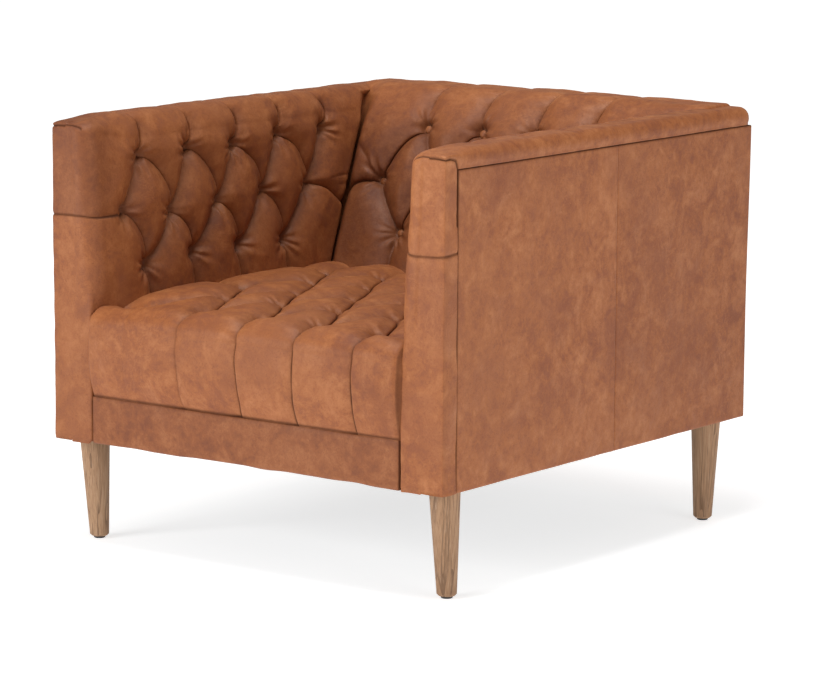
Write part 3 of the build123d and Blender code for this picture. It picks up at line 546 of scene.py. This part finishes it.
# ---- seat ----
def seat_tufting(seed):
    """Button plan of the seat: u is X, v is Y, carried on down the front face."""
    rows = []
    for number in range(SEAT_ROWS):
        columns = (-2, -1, 0, 1, 2) if number % 2 == 0 else (-1.5, -0.5, 0.5, 1.5)
        rows.append([(c * PITCH, SEAT_FIRST_Y + number * SEAT_ROW_PITCH) for c in columns])
    plan = Tufting(seed, SEAT_RELIEF, rows)
    deep, mid = SEAT_RELIEF, SEAT_RELIEF * 0.80
    for a, b in neighbours(rows, PITCH):
        if b[0] > a[0]:
            plan.pleat(a, b, (deep, mid, deep), reach=0.050, bow=0.03, line=0.3, sharp=0.62)
        else:
            plan.pleat(a, b, (deep, mid, deep), lip=1, reach=(0.040, 0.052), bow=-0.05, line=1.6, sharp=0.52)
    edge = SEAT_LOW[1] + 0.014
    fall = SEAT_HIGH[2] - SEAT_LOW[2]
    # line (how dark the painted shadow line is), depth and reach of the folds down the front face, from the
    # worn left side to the right
    worn, soft = (0.0, 0.0012, (0.034, 0.044)), (0.35, 0.0038, (0.034, 0.044))
    crisp = (1.8, 0.0054, (0.007, 0.046))
    for (u, v), (line, depth, reach) in zip(rows[0], (worn, soft, crisp, crisp, crisp)):
        turn = (u - 0.003, edge)
        plan.pleat((u, v), turn, (deep, depth * 3.8, depth * 2.4), lip=1, reach=(0.030, 0.050), bow=0.04,
                   line=line)
        plan.pleat(turn, (u, edge - fall - 0.03), (depth * 2.4, depth, depth * 0.65), lip=1, reach=reach,
                   line=line, sharp=0.5)
    for u, v in rows[-1]:
        plan.pleat((u, v), (u, v + 0.10), (deep, 0.020, 0.014), reach=0.048, line=0.3)
    for row in rows[::2]:
        for sign in (-1, 1):
            start = (sign * 2 * PITCH, row[0][1])
            plan.pleat(start, (sign * 0.318, start[1] + 0.004), (deep, 0.020, 0.016), reach=0.048, line=0.3)
    return plan


def seat_crown(x, y):
    """Height of the seat's pillow tops above its plain top plane."""
    across = 1 - 0.30 * np.abs(x / SEAT_HIGH[0]) ** 3
    forward = 0.55 + 0.45 * ease(y, SEAT_LOW[1], SEAT_LOW[1] + 0.14)
    rearward = 1 - 0.35 * ease(y, 0.02, 0.20)
    worn_corner = 0.60 * ease(-x, 0.16, 0.31) * (1 - ease(y, SEAT_LOW[1] + 0.02, SEAT_LOW[1] + 0.20))
    return SEAT_CROWN * (across * forward * rearward - worn_corner)


def seat_cover():
    """Tight seat: buttoned top and pleated front face, as one leather skin."""
    seed = 131
    tuck = 0.008
    low = np.array([SEAT_LOW[0] - tuck, SEAT_LOW[1], SEAT_LOW[2] - 0.030])
    high = np.array([SEAT_HIGH[0] + tuck, back_y(SEAT_HIGH[2]) + 0.050, SEAT_HIGH[2]])
    folds = [c * PITCH + d for c in (-2, -1, 0, 1, 2) for d in (-0.0031, -0.0007, 0.0007, 0.0031)]
    flat, quads = box_lattice(ticks(low[0], high[0], STEP, *folds), ticks(low[1], high[1], STEP),
                              ticks(low[2], high[2], STEP))

    def hidden(c):
        sides = (np.abs(c[:, 0]) > high[0] - TINY) & (c[:, 1] > low[1] + 0.05) & (c[:, 2] < high[2] - 0.05)
        return (c[:, 2] < low[2] + TINY) | (c[:, 1] > high[1] - TINY) | sides

    flat, quads = trimmed(flat, quads, hidden)
    radius = np.array([0.016, 0.030, 0.028])
    points, normal = rounded(flat, low, high, radius, radius)
    top_w = np.clip(normal[:, 2], 0, 1)
    front_w = np.clip(-normal[:, 1], 0, 1)
    on_front = (flat[:, 1] < low[1] + TINY) & (flat[:, 2] < high[2] - TINY)
    v = np.where(on_front, low[1] - (high[2] - flat[:, 2]), flat[:, 1])
    tangent_u = np.maximum(top_w, front_w)[:, None] * (1.0, 0.0, 0.0)
    tangent_v = top_w[:, None] * (0.0, 1.0, 0.0)
    from_side = high[0] - np.abs(flat[:, 0])
    side_fade = ease(from_side, 0.002, 0.040)
    crown = seat_crown(flat[:, 0], flat[:, 1]) * top_w * (0.3 + 0.7 * side_fade)
    moved, marks = tufted_surface(points, normal, seat_tufting(seed), flat[:, 0], v, tangent_u, tangent_v,
                                  seed, crown, side_fade, rim=0.017, pucker=0.0008)
    rise = np.clip((flat[:, 2] - SEAT_LOW[2]) / 0.075, -0.4, 1)
    belly = np.where(rise < 0, 0.030 * rise, 0.020 * np.sin(np.maximum(rise, 0) * math.pi / 2) ** 0.8)
    upper = np.clip((flat[:, 2] - SEAT_LOW[2] - 0.075) / 0.072, 0, 1)
    belly = belly - 0.012 * upper ** 2
    keep_in = 0.55 + 0.45 * ease(from_side, 0.0, 0.06)
    moved[:, 1] -= belly * keep_in * ease(-flat[:, 1], -(low[1] + 0.10), -(low[1] + 0.02))
    # painted shadow in the gaps where the seat's front meets the front rail and the arms
    above_apron = (flat[:, 2] - APRON_HIGH[2]) / 0.0024
    beside_arm = ease(np.abs(flat[:, 0]), ARM_LOW[0] - 0.0014, ARM_LOW[0] + 0.0002)
    edges = np.maximum(np.exp(-(above_apron ** 2)), beside_arm) * front_w
    marks["crease"] = np.maximum(marks["crease"], 0.9 * edges)
    # the leather's own tone mixed with painted shade, more on the front face than on the top
    marks["tone_and_shade"] = 0.42 * front_w + 0.18 * top_w
    return add_mesh("seat_upholstery", moved, quads, marks)


# ---- plain panels ----
def soft_panel(name, low, high, axis, radius, puff, step, seed, tone_and_shade, wave, seams, mirror_x=False):
    """A thin leather panel over wadding, facing along an axis: rounded edges, a slight crown (puff),
    soft unevenness, and a wave along the bottom edge.
    seams lists the edges with a dark joint as (axis, end), with -1 for the low end and 1 for the high."""
    places = [ticks(low[k], high[k], step, low[k] + 0.0024, high[k] - 0.0024) if high[k] - low[k] > 0.02
              else ticks(low[k], high[k], 0.0018) for k in range(3)]
    flat, quads = box_lattice(*places)
    radii = np.minimum(np.full(3, radius), (high - low) * 0.499)
    points, normal = rounded(flat, low, high, radii, radii)
    across = [k for k in range(3) if k != axis]
    size = high - low
    centred = [np.abs(2 * (flat[:, k] - low[k]) / size[k] - 1) for k in across]
    crown = (1 - centred[0] ** 6) * (1 - centred[1] ** 6)
    facing = np.abs(normal[:, axis])
    height = puff * crown + 0.8 * leather_relief(points * (1.0, 0.7, 0.7), seed) * crown
    moved = points + normal * (height * facing)[:, None]
    lower = 1 - ease(flat[:, 2], low[2], low[2] + 0.05)
    along = flat[:, across[0]]
    ripple = smooth_noise(np.stack([along, along * 0, along * 0], 1), 0.045, seed + 3)
    moved[:, 2] += wave * lower * ripple
    joint = np.zeros(len(points))
    for along_axis, end in seams:
        edge = high[along_axis] if end > 0 else low[along_axis]
        joint = np.maximum(joint, np.exp(-((np.abs(flat[:, along_axis] - edge) / 0.0018) ** 2)))
    # the panel's own tone mixed with painted shade; the crease lines are the dark seam joints
    marks = {"fold_shade": 0 * joint, "crease": 0.9 * joint, "tone_and_shade": np.full(len(points), tone_and_shade)}
    return add_mesh(name, flared(moved), quads, marks, mirror_x)


def outside_panels():
    """Outside arm panels in two parts each, the two outside back panels and the front rail cover."""
    # the fourth number of each plan is the panel's own tone mixed with painted shade
    plans = (("front", FRONT_PANEL_LOW, FRONT_PANEL_HIGH, 0, 0.28, ((1, -1), (2, 1))),
             ("rear", REAR_PANEL_LOW, REAR_PANEL_HIGH, 0, 0.42, ((2, 1),)),
             ("back", BACK_PANEL_LOW, BACK_PANEL_HIGH, 1, 0.35, ((2, 1),)))
    pieces = {}
    for side, seed in (("right", 200), ("left", 260)):
        for number, (place, panel_low, panel_high, axis, tone_and_shade, seams) in enumerate(plans):
            low, high = panel_low.copy(), panel_high.copy()
            low[axis] = high[axis] - PANEL_THICK
            if place == "back":
                high[0] = REAR_PANEL_HIGH[0] - PANEL_THICK + 0.0015
            pieces[f"{side}_outside_{place}_panel"] = soft_panel(
                f"{side}_outside_{place}_leather", low, high, axis, radius=0.0022, puff=0.0012, step=0.005,
                seed=seed + 20 * number, tone_and_shade=tone_and_shade, wave=0.0004, seams=seams, mirror_x=side == "left")
    low, high = APRON_LOW.copy(), APRON_HIGH.copy()
    high[1] = low[1] + 0.012
    # the front rail cover darkest: its own tone mixed with painted shade under the seat's front
    pieces["front_rail_cover"] = soft_panel(
        "front_rail_leather", low, high, 1, radius=0.0045, puff=0.0026, step=0.003, seed=320, tone_and_shade=0.95,
        wave=0.0012, seams=((0, -1), (0, 1), (2, 1)))
    return pieces


# ---- buttons ----
BUTTON_RADIUS = 0.0070
BUTTON_RISE = 0.0042
BUTTON_BELOW = 0.0035        # depth of the rolled rim below the widest part
BUTTON_SINK = 0.0010         # how far a button is pulled below the floor of its pit


def button_group(name, places, normal):
    """Covered buttons: flattened domes with a rolled rim, one solid each."""
    normal = np.array(normal, float) / np.linalg.norm(normal)
    side = np.cross(normal, (0, 0, 1) if abs(normal[2]) < 0.9 else (0, 1, 0))
    side /= np.linalg.norm(side)
    third = np.cross(normal, side)
    mesh = bmesh.new()
    profile = [(BUTTON_RADIUS * 0.90, -BUTTON_BELOW), (BUTTON_RADIUS * 0.99, -0.0016)]
    for angle in np.linspace(0, math.pi / 2, 8)[:-1]:
        profile.append((BUTTON_RADIUS * math.cos(angle), BUTTON_RISE * math.sin(angle)))
    turns = 28
    for place in places:
        rings = []
        for r, h in profile:
            ring = []
            for k in range(turns):
                angle = 2 * math.pi * k / turns
                spot = place + normal * h + (side * math.cos(angle) + third * math.sin(angle)) * r
                ring.append(mesh.verts.new(spot))
            rings.append(ring)
        for lower, upper in zip(rings, rings[1:]):
            for k in range(turns):
                mesh.faces.new((lower[k], lower[(k + 1) % turns], upper[(k + 1) % turns], upper[k]))
        top = mesh.verts.new(place + normal * BUTTON_RISE)
        under = mesh.verts.new(place - normal * BUTTON_BELOW)
        for k in range(turns):
            mesh.faces.new((rings[-1][k], rings[-1][(k + 1) % turns], top))
            mesh.faces.new((rings[0][(k + 1) % turns], rings[0][k], under))
    bmesh.ops.recalc_face_normals(mesh, faces=mesh.faces)
    piece = add_bmesh(name, mesh)
    piece.data.shade_smooth()
    return piece


def button_pieces():
    """The four groups of buttons, each on the floor of its pits."""
    pieces = {}
    arm_normal = np.array([-1.0, 0.0, ARM_LEAN])
    sunk = ARM_RELIEF - ARM_CROWN + BUTTON_SINK
    arm_places = [np.array([arm_inner_x(v), u, v]) - arm_normal * sunk for u, v in arm_tufting(1).buttons]
    pieces["right_arm_buttons"] = button_group("right_arm_button_set", arm_places, arm_normal)
    flip = np.array([-1, 1, 1])
    left_places = [place * flip for place in arm_places]
    pieces["left_arm_buttons"] = button_group("left_arm_button_set", left_places, arm_normal * flip)
    back_normal = np.array([0.0, -1.0, BACK_LEAN]) / math.hypot(1, BACK_LEAN)
    back_places = []
    for u, v in back_tufting(1).buttons:
        lift = BACK_CROWN * back_fullness(v) - BACK_RELIEF - BUTTON_SINK
        back_places.append(np.array([u, back_y(v), v]) + back_normal * lift)
    pieces["back_buttons"] = button_group("back_button_set", back_places, back_normal)
    seat_places = []
    for u, v in seat_tufting(1).buttons:
        seat_places.append(np.array([u, v, SEAT_HIGH[2] + seat_crown(u, v) - SEAT_RELIEF - BUTTON_SINK]))
    pieces["seat_buttons"] = button_group("seat_button_set", seat_places, (0, 0, 1))
    return pieces


# ---- dust cover ----
def dust_cover():
    """Black cloth stretched under the frame, with a slight sag."""
    low, high = DUST_LOW + (0.006, 0.006, 0), DUST_HIGH - (0.006, 0.006, 0)
    xs, ys = ticks(low[0], high[0], 0.012), ticks(low[1], high[1], 0.012)
    flat, quads = box_lattice(xs, ys, np.array([low[2], low[2] + 0.0008]))
    sag = (1 - (flat[:, 0] / high[0]) ** 2) * (1 - (flat[:, 1] / high[1]) ** 2)
    flat[:, 2] -= 0.004 * sag + 0.0006 * smooth_noise(flat * (1, 1, 0), 0.05, 71) * np.minimum(1, sag * 3)
    piece = add_mesh("dust_cover_cloth", flat, quads)
    return piece, (float(high[0] - low[0]), float(high[1] - low[1]))


# ---- materials ----
class Nodes:
    """Short ways to add and join shader nodes."""

    def __init__(self, name):
        self.material = bpy.data.materials.new(name)
        self.material.use_nodes = True
        self.tree = self.material.node_tree
        self.surface = next(n for n in self.tree.nodes if n.type == "BSDF_PRINCIPLED")
        self.place = self.add("ShaderNodeTexCoord").outputs["Object"]

    def add(self, kind, **values):
        node = self.tree.nodes.new(kind)
        for key, value in values.items():
            name = key.replace("_", " ")
            if name in node.inputs:
                node.inputs[name].default_value = value
            else:
                setattr(node, key, value)
        return node

    def join(self, source, target):
        self.tree.links.new(source, target)

    def feed(self, value, socket):
        """Join a node's output to a socket, or give the socket a number or a colour."""
        if hasattr(value, "is_output"):
            self.join(value, socket)
        elif hasattr(value, "__len__"):
            socket.default_value = (*value, 1)
        else:
            socket.default_value = value

    def noise(self, scale, detail=2.0, roughness=0.5, distortion=0.0, stretch=(1, 1, 1)):
        mapping = self.add("ShaderNodeMapping")
        mapping.inputs["Scale"].default_value = stretch
        self.join(self.place, mapping.inputs["Vector"])
        node = self.add("ShaderNodeTexNoise", Scale=scale, Detail=detail, Roughness=roughness,
                        Distortion=distortion)
        self.join(mapping.outputs["Vector"], node.inputs["Vector"])
        return node.outputs["Fac"]

    def cells(self, scale, feature="F1"):
        node = self.add("ShaderNodeTexVoronoi", Scale=scale, feature=feature)
        self.join(self.place, node.inputs["Vector"])
        return node.outputs["Distance"]

    def attribute(self, name):
        return self.add("ShaderNodeAttribute", attribute_name=name).outputs["Fac"]

    def ramp(self, source, *stops):
        node = self.add("ShaderNodeValToRGB")
        while len(node.color_ramp.elements) < len(stops):
            node.color_ramp.elements.new(0.5)
        for element, (position, colour) in zip(node.color_ramp.elements, stops):
            element.position = position
            element.color = (*colour, 1) if hasattr(colour, "__len__") else (colour, colour, colour, 1)
        self.join(source, node.inputs["Fac"])
        return node.outputs["Color"]

    def mix(self, factor, a, b, mode="MIX"):
        node = self.add("ShaderNodeMix", data_type="RGBA", blend_type=mode)
        for value, number in ((factor, 0), (a, 6), (b, 7)):
            self.feed(value, node.inputs[number])
        return node.outputs[2]

    def maths(self, operation, a, b=0.0):
        node = self.add("ShaderNodeMath", operation=operation)
        self.feed(a, node.inputs[0])
        self.feed(b, node.inputs[1])
        return node.outputs[0]

    def bump(self, height, distance, strength=1.0, before=None):
        node = self.add("ShaderNodeBump", Strength=strength, Distance=distance)
        self.join(height, node.inputs["Height"])
        if before is not None:
            self.join(before, node.inputs["Normal"])
        return node.outputs["Normal"]

    def finish(self, colour, roughness, normal=None, **sockets):
        for key, value in sockets.items():
            self.surface.inputs[key.replace("_", " ")].default_value = value
        self.feed(colour, self.surface.inputs["Base Color"])
        self.feed(roughness, self.surface.inputs["Roughness"])
        if normal is not None:
            self.join(normal, self.surface.inputs["Normal"])
        return self.material


def leather_material(name, shade=1.0, folds=True):
    """Waxed aniline leather: cloudy tan and red brown, fine pebbled grain; on the covers, painted shade in
    the folds and by face, painted shadow lines along pleats and gaps, and dark seam lines.
    """
    m = Nodes(name)
    dark = tuple(c * shade for c in (0.165, 0.046, 0.013))
    red = tuple(c * shade for c in (0.250, 0.076, 0.029))
    mid = tuple(c * shade for c in (0.335, 0.107, 0.0315))
    light = tuple(c * shade for c in (0.440, 0.161, 0.055))
    broad = m.noise(4.2, 3.0, 0.55, 0.5)
    clouds = m.noise(21.0, 8.0, 0.68, 0.5)
    fine = m.noise(75.0, 6.0, 0.70, 0.3)
    blend = m.maths("ADD", m.maths("MULTIPLY", clouds, 0.62), m.maths("MULTIPLY", fine, 0.38))
    colour = m.ramp(blend, (0.40, red), (0.50, mid), (0.62, light))
    patches = m.ramp(m.noise(8.5, 5.0, 0.62, 0.9), (0.50, 0.0), (0.66, 0.60))
    colour = m.mix(patches, colour, red)
    colour = m.mix(m.ramp(broad, (0.40, 0.0), (0.70, 0.30)), colour, light)
    scuffs = m.noise(46.0, 6.0, 0.74, 1.8, stretch=(1.0, 0.4, 2.0))
    colour = m.mix(m.ramp(scuffs, (0.60, 0.0), (0.76, 0.42)), colour, light)
    marks = m.ramp(m.noise(13.0, 5.0, 0.55, 1.4), (0.488, 0.0), (0.500, 0.50), (0.512, 0.0))
    marks = m.mix(m.ramp(m.noise(6.0, 2.0), (0.44, 1.0), (0.60, 0.0)), marks, (0.0, 0.0, 0.0))
    colour = m.mix(marks, colour, light)
    specks = m.noise(330.0, 3.0, 0.6)
    colour = m.mix(m.ramp(specks, (0.52, 0.0), (0.75, 0.40)), colour, dark)
    # painted light and shade on the covers, from the attributes their meshes carry
    if folds:
        deeper = tuple(d / c for d, c in zip(dark, mid))
        fold_shade_colour = tuple(c * 0.5 for c in dark)
        line_shadow_and_seam_colour = tuple(c * 0.42 for c in dark)
        # painted shade mixed with the leather's own tone, per face
        colour = m.mix(m.maths("MULTIPLY", m.attribute("tone_and_shade"), 0.60), colour, deeper, "MULTIPLY")
        # painted shade in the pleat valleys and button pits
        colour = m.mix(m.maths("MULTIPLY", m.attribute("fold_shade"), 0.42), colour, fold_shade_colour)
        # painted shadow lines along pleats and gaps, and dark seam lines
        colour = m.mix(m.maths("MULTIPLY", m.attribute("crease"), 0.95), colour, line_shadow_and_seam_colour)
    roughness = m.ramp(clouds, (0.30, 0.64), (0.70, 0.49))
    if folds:
        roughness = m.mix(m.attribute("crease"), roughness, (0.95, 0.95, 0.95))
    grain = m.cells(620.0, "SMOOTH_F1")
    pores = m.noise(1400.0, 2.0, 0.5)
    crinkle = m.noise(95.0, 5.0, 0.6, 0.8)
    normal = m.bump(grain, 0.00022, 0.7)
    normal = m.bump(pores, 0.00008, 0.6, normal)
    normal = m.bump(crinkle, 0.00130, 0.6, normal)
    return m.finish(colour, roughness, normal, Specular_IOR_Level=0.32)


def leg_material():
    """Wire-brushed ash, grey-brown, with the grain up the leg."""
    m = Nodes("leg_ash")
    figure = m.noise(30.0, 2.0, 0.4, 0.6, stretch=(1.0, 1.0, 0.09))
    rings = m.maths("FRACT", m.maths("MULTIPLY", figure, 9.0))
    fibres = m.noise(520.0, 3.0, 0.65, 0.0, stretch=(1.0, 1.0, 0.018))
    broad = m.noise(16.0, 2.0, 0.5, 0.0, stretch=(1.0, 1.0, 0.2))
    colour = m.ramp(broad, (0.34, (0.290, 0.158, 0.082)), (0.66, (0.392, 0.232, 0.130)))
    colour = m.mix(m.ramp(rings, (0.0, 0.70), (0.22, 0.0)), colour, (0.115, 0.058, 0.030))
    colour = m.mix(m.ramp(fibres, (0.50, 0.0), (0.72, 0.55)), colour, (0.105, 0.056, 0.032))
    colour = m.mix(m.ramp(fibres, (0.30, 0.40), (0.46, 0.0)), colour, (0.50, 0.35, 0.24))
    normal = m.bump(fibres, 0.00040, 0.7)
    normal = m.bump(rings, 0.00030, 0.5, normal)
    return m.finish(colour, 0.62, normal, Specular_IOR_Level=0.30)


def plain_wood(name, base, dark):
    m = Nodes(name)
    grain = m.noise(60.0, 4.0, 0.6, 0.8, stretch=(0.12, 1.0, 1.0))
    colour = m.ramp(grain, (0.35, dark), (0.62, base))
    return m.finish(colour, 0.66, m.bump(grain, 0.0005, 0.5))


def woven_material(name, base, dark, scale):
    m = Nodes(name)
    cells = m.cells(scale)
    colour = m.mix(m.ramp(cells, (0.15, 0.0), (0.6, 0.8)), base, dark)
    colour = m.mix(m.ramp(m.noise(30.0, 4.0), (0.4, 0.0), (0.7, 0.3)), colour, dark)
    return m.finish(colour, 0.9, m.bump(cells, 0.0008, 0.6))


def foam_material(name, base, dark):
    m = Nodes(name)
    cells = m.cells(900.0)
    colour = m.mix(m.ramp(m.noise(12.0, 3.0), (0.4, 0.0), (0.75, 0.4)), base, dark)
    return m.finish(colour, 0.95, m.bump(cells, 0.0006, 0.5))


def metal_material(name, base, rough):
    m = Nodes(name)
    scratch = m.noise(240.0, 4.0, 0.6, 0.0, stretch=(1.0, 0.08, 1.0))
    colour = m.mix(m.ramp(m.noise(40.0, 4.0), (0.4, 0.0), (0.7, 0.5)), base, tuple(c * 0.6 for c in base))
    return m.finish(colour, m.ramp(scratch, (0.3, rough), (0.7, rough + 0.18)), m.bump(scratch, 0.0001, 0.4),
                    Metallic=1.0)


def plastic_material():
    m = Nodes("glide_nylon")
    speckle = m.noise(500.0, 3.0)
    colour = m.mix(m.ramp(speckle, (0.4, 0.0), (0.7, 0.5)), (0.010, 0.010, 0.011), (0.024, 0.023, 0.023))
    return m.finish(colour, 0.48, m.bump(speckle, 0.0001, 0.5))


def floor_material():
    """White floor, glowing a little more away from the chair so that it stays white to the horizon."""
    m = Nodes("studio_floor")
    distance = m.add("ShaderNodeVectorMath", operation="LENGTH")
    m.join(m.place, distance.inputs[0])
    glow = m.ramp(m.maths("MULTIPLY", distance.outputs["Value"], 0.2), (0.16, 0.68), (0.55, 0.90))
    m.join(glow, m.surface.inputs["Emission Color"])
    colour = m.mix(m.noise(2.0, 2.0), (0.72, 0.72, 0.72), (0.74, 0.74, 0.74))
    return m.finish(colour, 0.65, Specular_IOR_Level=0.2, Emission_Strength=1.0)


SLOT_MATERIALS = {
    "hardwood_frame": plain_wood("frame_beech", (0.58, 0.42, 0.27), (0.40, 0.26, 0.15)),
    "leg_wood": leg_material(),
    "leather": leather_material("saddle_leather"),
    "button_leather": leather_material("button_leather", 0.82, folds=False),
    "foam": foam_material("pad_foam", (0.82, 0.76, 0.56), (0.70, 0.60, 0.38)),
    "wadding": foam_material("fibre_wadding", (0.86, 0.86, 0.83), (0.70, 0.70, 0.67)),
    "jute": woven_material("jute", (0.45, 0.33, 0.19), (0.24, 0.16, 0.085), 700.0),
    "twine": woven_material("waxed_twine", (0.66, 0.58, 0.44), (0.40, 0.33, 0.22), 1500.0),
    "board": foam_material("fibreboard", (0.40, 0.31, 0.21), (0.28, 0.21, 0.14)),
    "dust_cloth": woven_material("dust_cloth", (0.030, 0.030, 0.033), (0.012, 0.012, 0.013), 1100.0),
    "spring_steel": metal_material("spring_steel", (0.30, 0.30, 0.31), 0.42),
    "zinc_steel": metal_material("zinc_steel", (0.62, 0.62, 0.60), 0.34),
    "glide_plastic": plastic_material(),
}


# ---- build the object ----
node_slots = {part["node"]: part["material_slot"] for part in frame["record"]["subparts"]}
for node, piece in frame["nodes"].items():
    piece.data.materials.clear()
    piece.data.materials.append(SLOT_MATERIALS[node_slots[node]])


def install(piece, slot, *nodes):
    """Give a piece its material, slot and body, and let it stand for its CAD nodes."""
    piece.data.materials.append(SLOT_MATERIALS[slot])
    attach(piece, "root")
    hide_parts(*nodes)
    return piece


for side in ("right", "left"):
    hidden_layers = ("front_wadding",) if side == "right" else ("side_wadding",)
    arm = install(arm_cover(side), "leather", f"{side}_arm_cover", f"{side}_arm_foam", *hidden_layers)
back = install(back_cover(), "leather", "inside_back_cover", "back_foam")
seat = install(seat_cover(), "leather", "seat_cover", "seat_foam")
for node, piece in outside_panels().items():
    extra = ("back_wadding",) if node == "right_outside_back_panel" else ()
    install(piece, "leather", node, *extra)
for node, piece in button_pieces().items():
    install(piece, "button_leather", node)
cloth, cut = dust_cover()
install(cloth, "dust_cloth", "dust_cover")

# ---- studio ----
CAMERA_AZIMUTH = math.radians(36.49)
CAMERA_HEIGHT = math.radians(9.36)
CAMERA_ROLL = math.radians(0.36)
CAMERA_DISTANCE = 6.278
CAMERA_AIM = np.array([0.0087, 0.0, 0.3133])
LENS = 164.35
SENSOR = 36.0
WORLD_LIGHT = 0.26


def place_camera():
    data = bpy.data.cameras.new("studio_camera")
    data.lens = LENS
    data.sensor_width = SENSOR
    data.sensor_fit = "HORIZONTAL"
    camera = add_object("studio_camera", data)
    turn = (Matrix.Rotation(CAMERA_AZIMUTH, 4, "Z") @ Matrix.Rotation(math.pi / 2 - CAMERA_HEIGHT, 4, "X")
            @ Matrix.Rotation(CAMERA_ROLL, 4, "Z"))
    away = np.array(turn.to_3x3())[:, 2]
    turn.translation = CAMERA_AIM + away * CAMERA_DISTANCE
    camera.matrix_world = turn
    bpy.context.scene.camera = camera


def add_floor():
    """A large pale floor."""
    mesh = bmesh.new()
    bmesh.ops.create_grid(mesh, x_segments=8, y_segments=8, size=14.0)
    floor = add_bmesh("floor", mesh)
    floor.data.materials.append(floor_material())


def add_light(name, place, aim, size, power):
    """A soft rectangular lamp at a place, turned to what it lights."""
    data = bpy.data.lights.new(name, "AREA")
    data.shape = "RECTANGLE"
    data.size, data.size_y = size
    data.energy = power
    lamp = add_object(name, data)
    lamp.location = place
    lamp.rotation_euler = (Vector(aim) - Vector(place)).to_track_quat("-Z", "Y").to_euler()


def studio_world():
    """A white backdrop, with a dimmer light from all round on the chair."""
    world = bpy.data.worlds.new("studio")
    bpy.context.scene.world = world
    world.use_nodes = True
    tree = world.node_tree
    light = tree.nodes["Background"]
    light.inputs["Strength"].default_value = WORLD_LIGHT
    backdrop = tree.nodes.new("ShaderNodeBackground")
    for background in (light, backdrop):
        background.inputs["Color"].default_value = (1, 1, 1, 1)
    seen = tree.nodes.new("ShaderNodeLightPath")
    join = tree.nodes.new("ShaderNodeMixShader")
    tree.links.new(seen.outputs["Is Camera Ray"], join.inputs[0])
    tree.links.new(light.outputs[0], join.inputs[1])
    tree.links.new(backdrop.outputs[0], join.inputs[2])
    tree.links.new(join.outputs[0], tree.nodes["World Output"].inputs[0])


place_camera()
add_floor()
studio_world()
add_light("front_key", (-1.5, -4.0, 1.7), (0, 0, 0.40), (2.0, 1.4), 92)
add_light("side_fill", (3.9, -0.6, 1.1), (0.3, 0, 0.35), (2.6, 1.6), 40)
add_light("top", (0.2, -0.5, 3.2), (0, 0, 0.4), (1.4, 1.4), 60)
bpy.context.scene.view_settings.view_transform = "Standard"
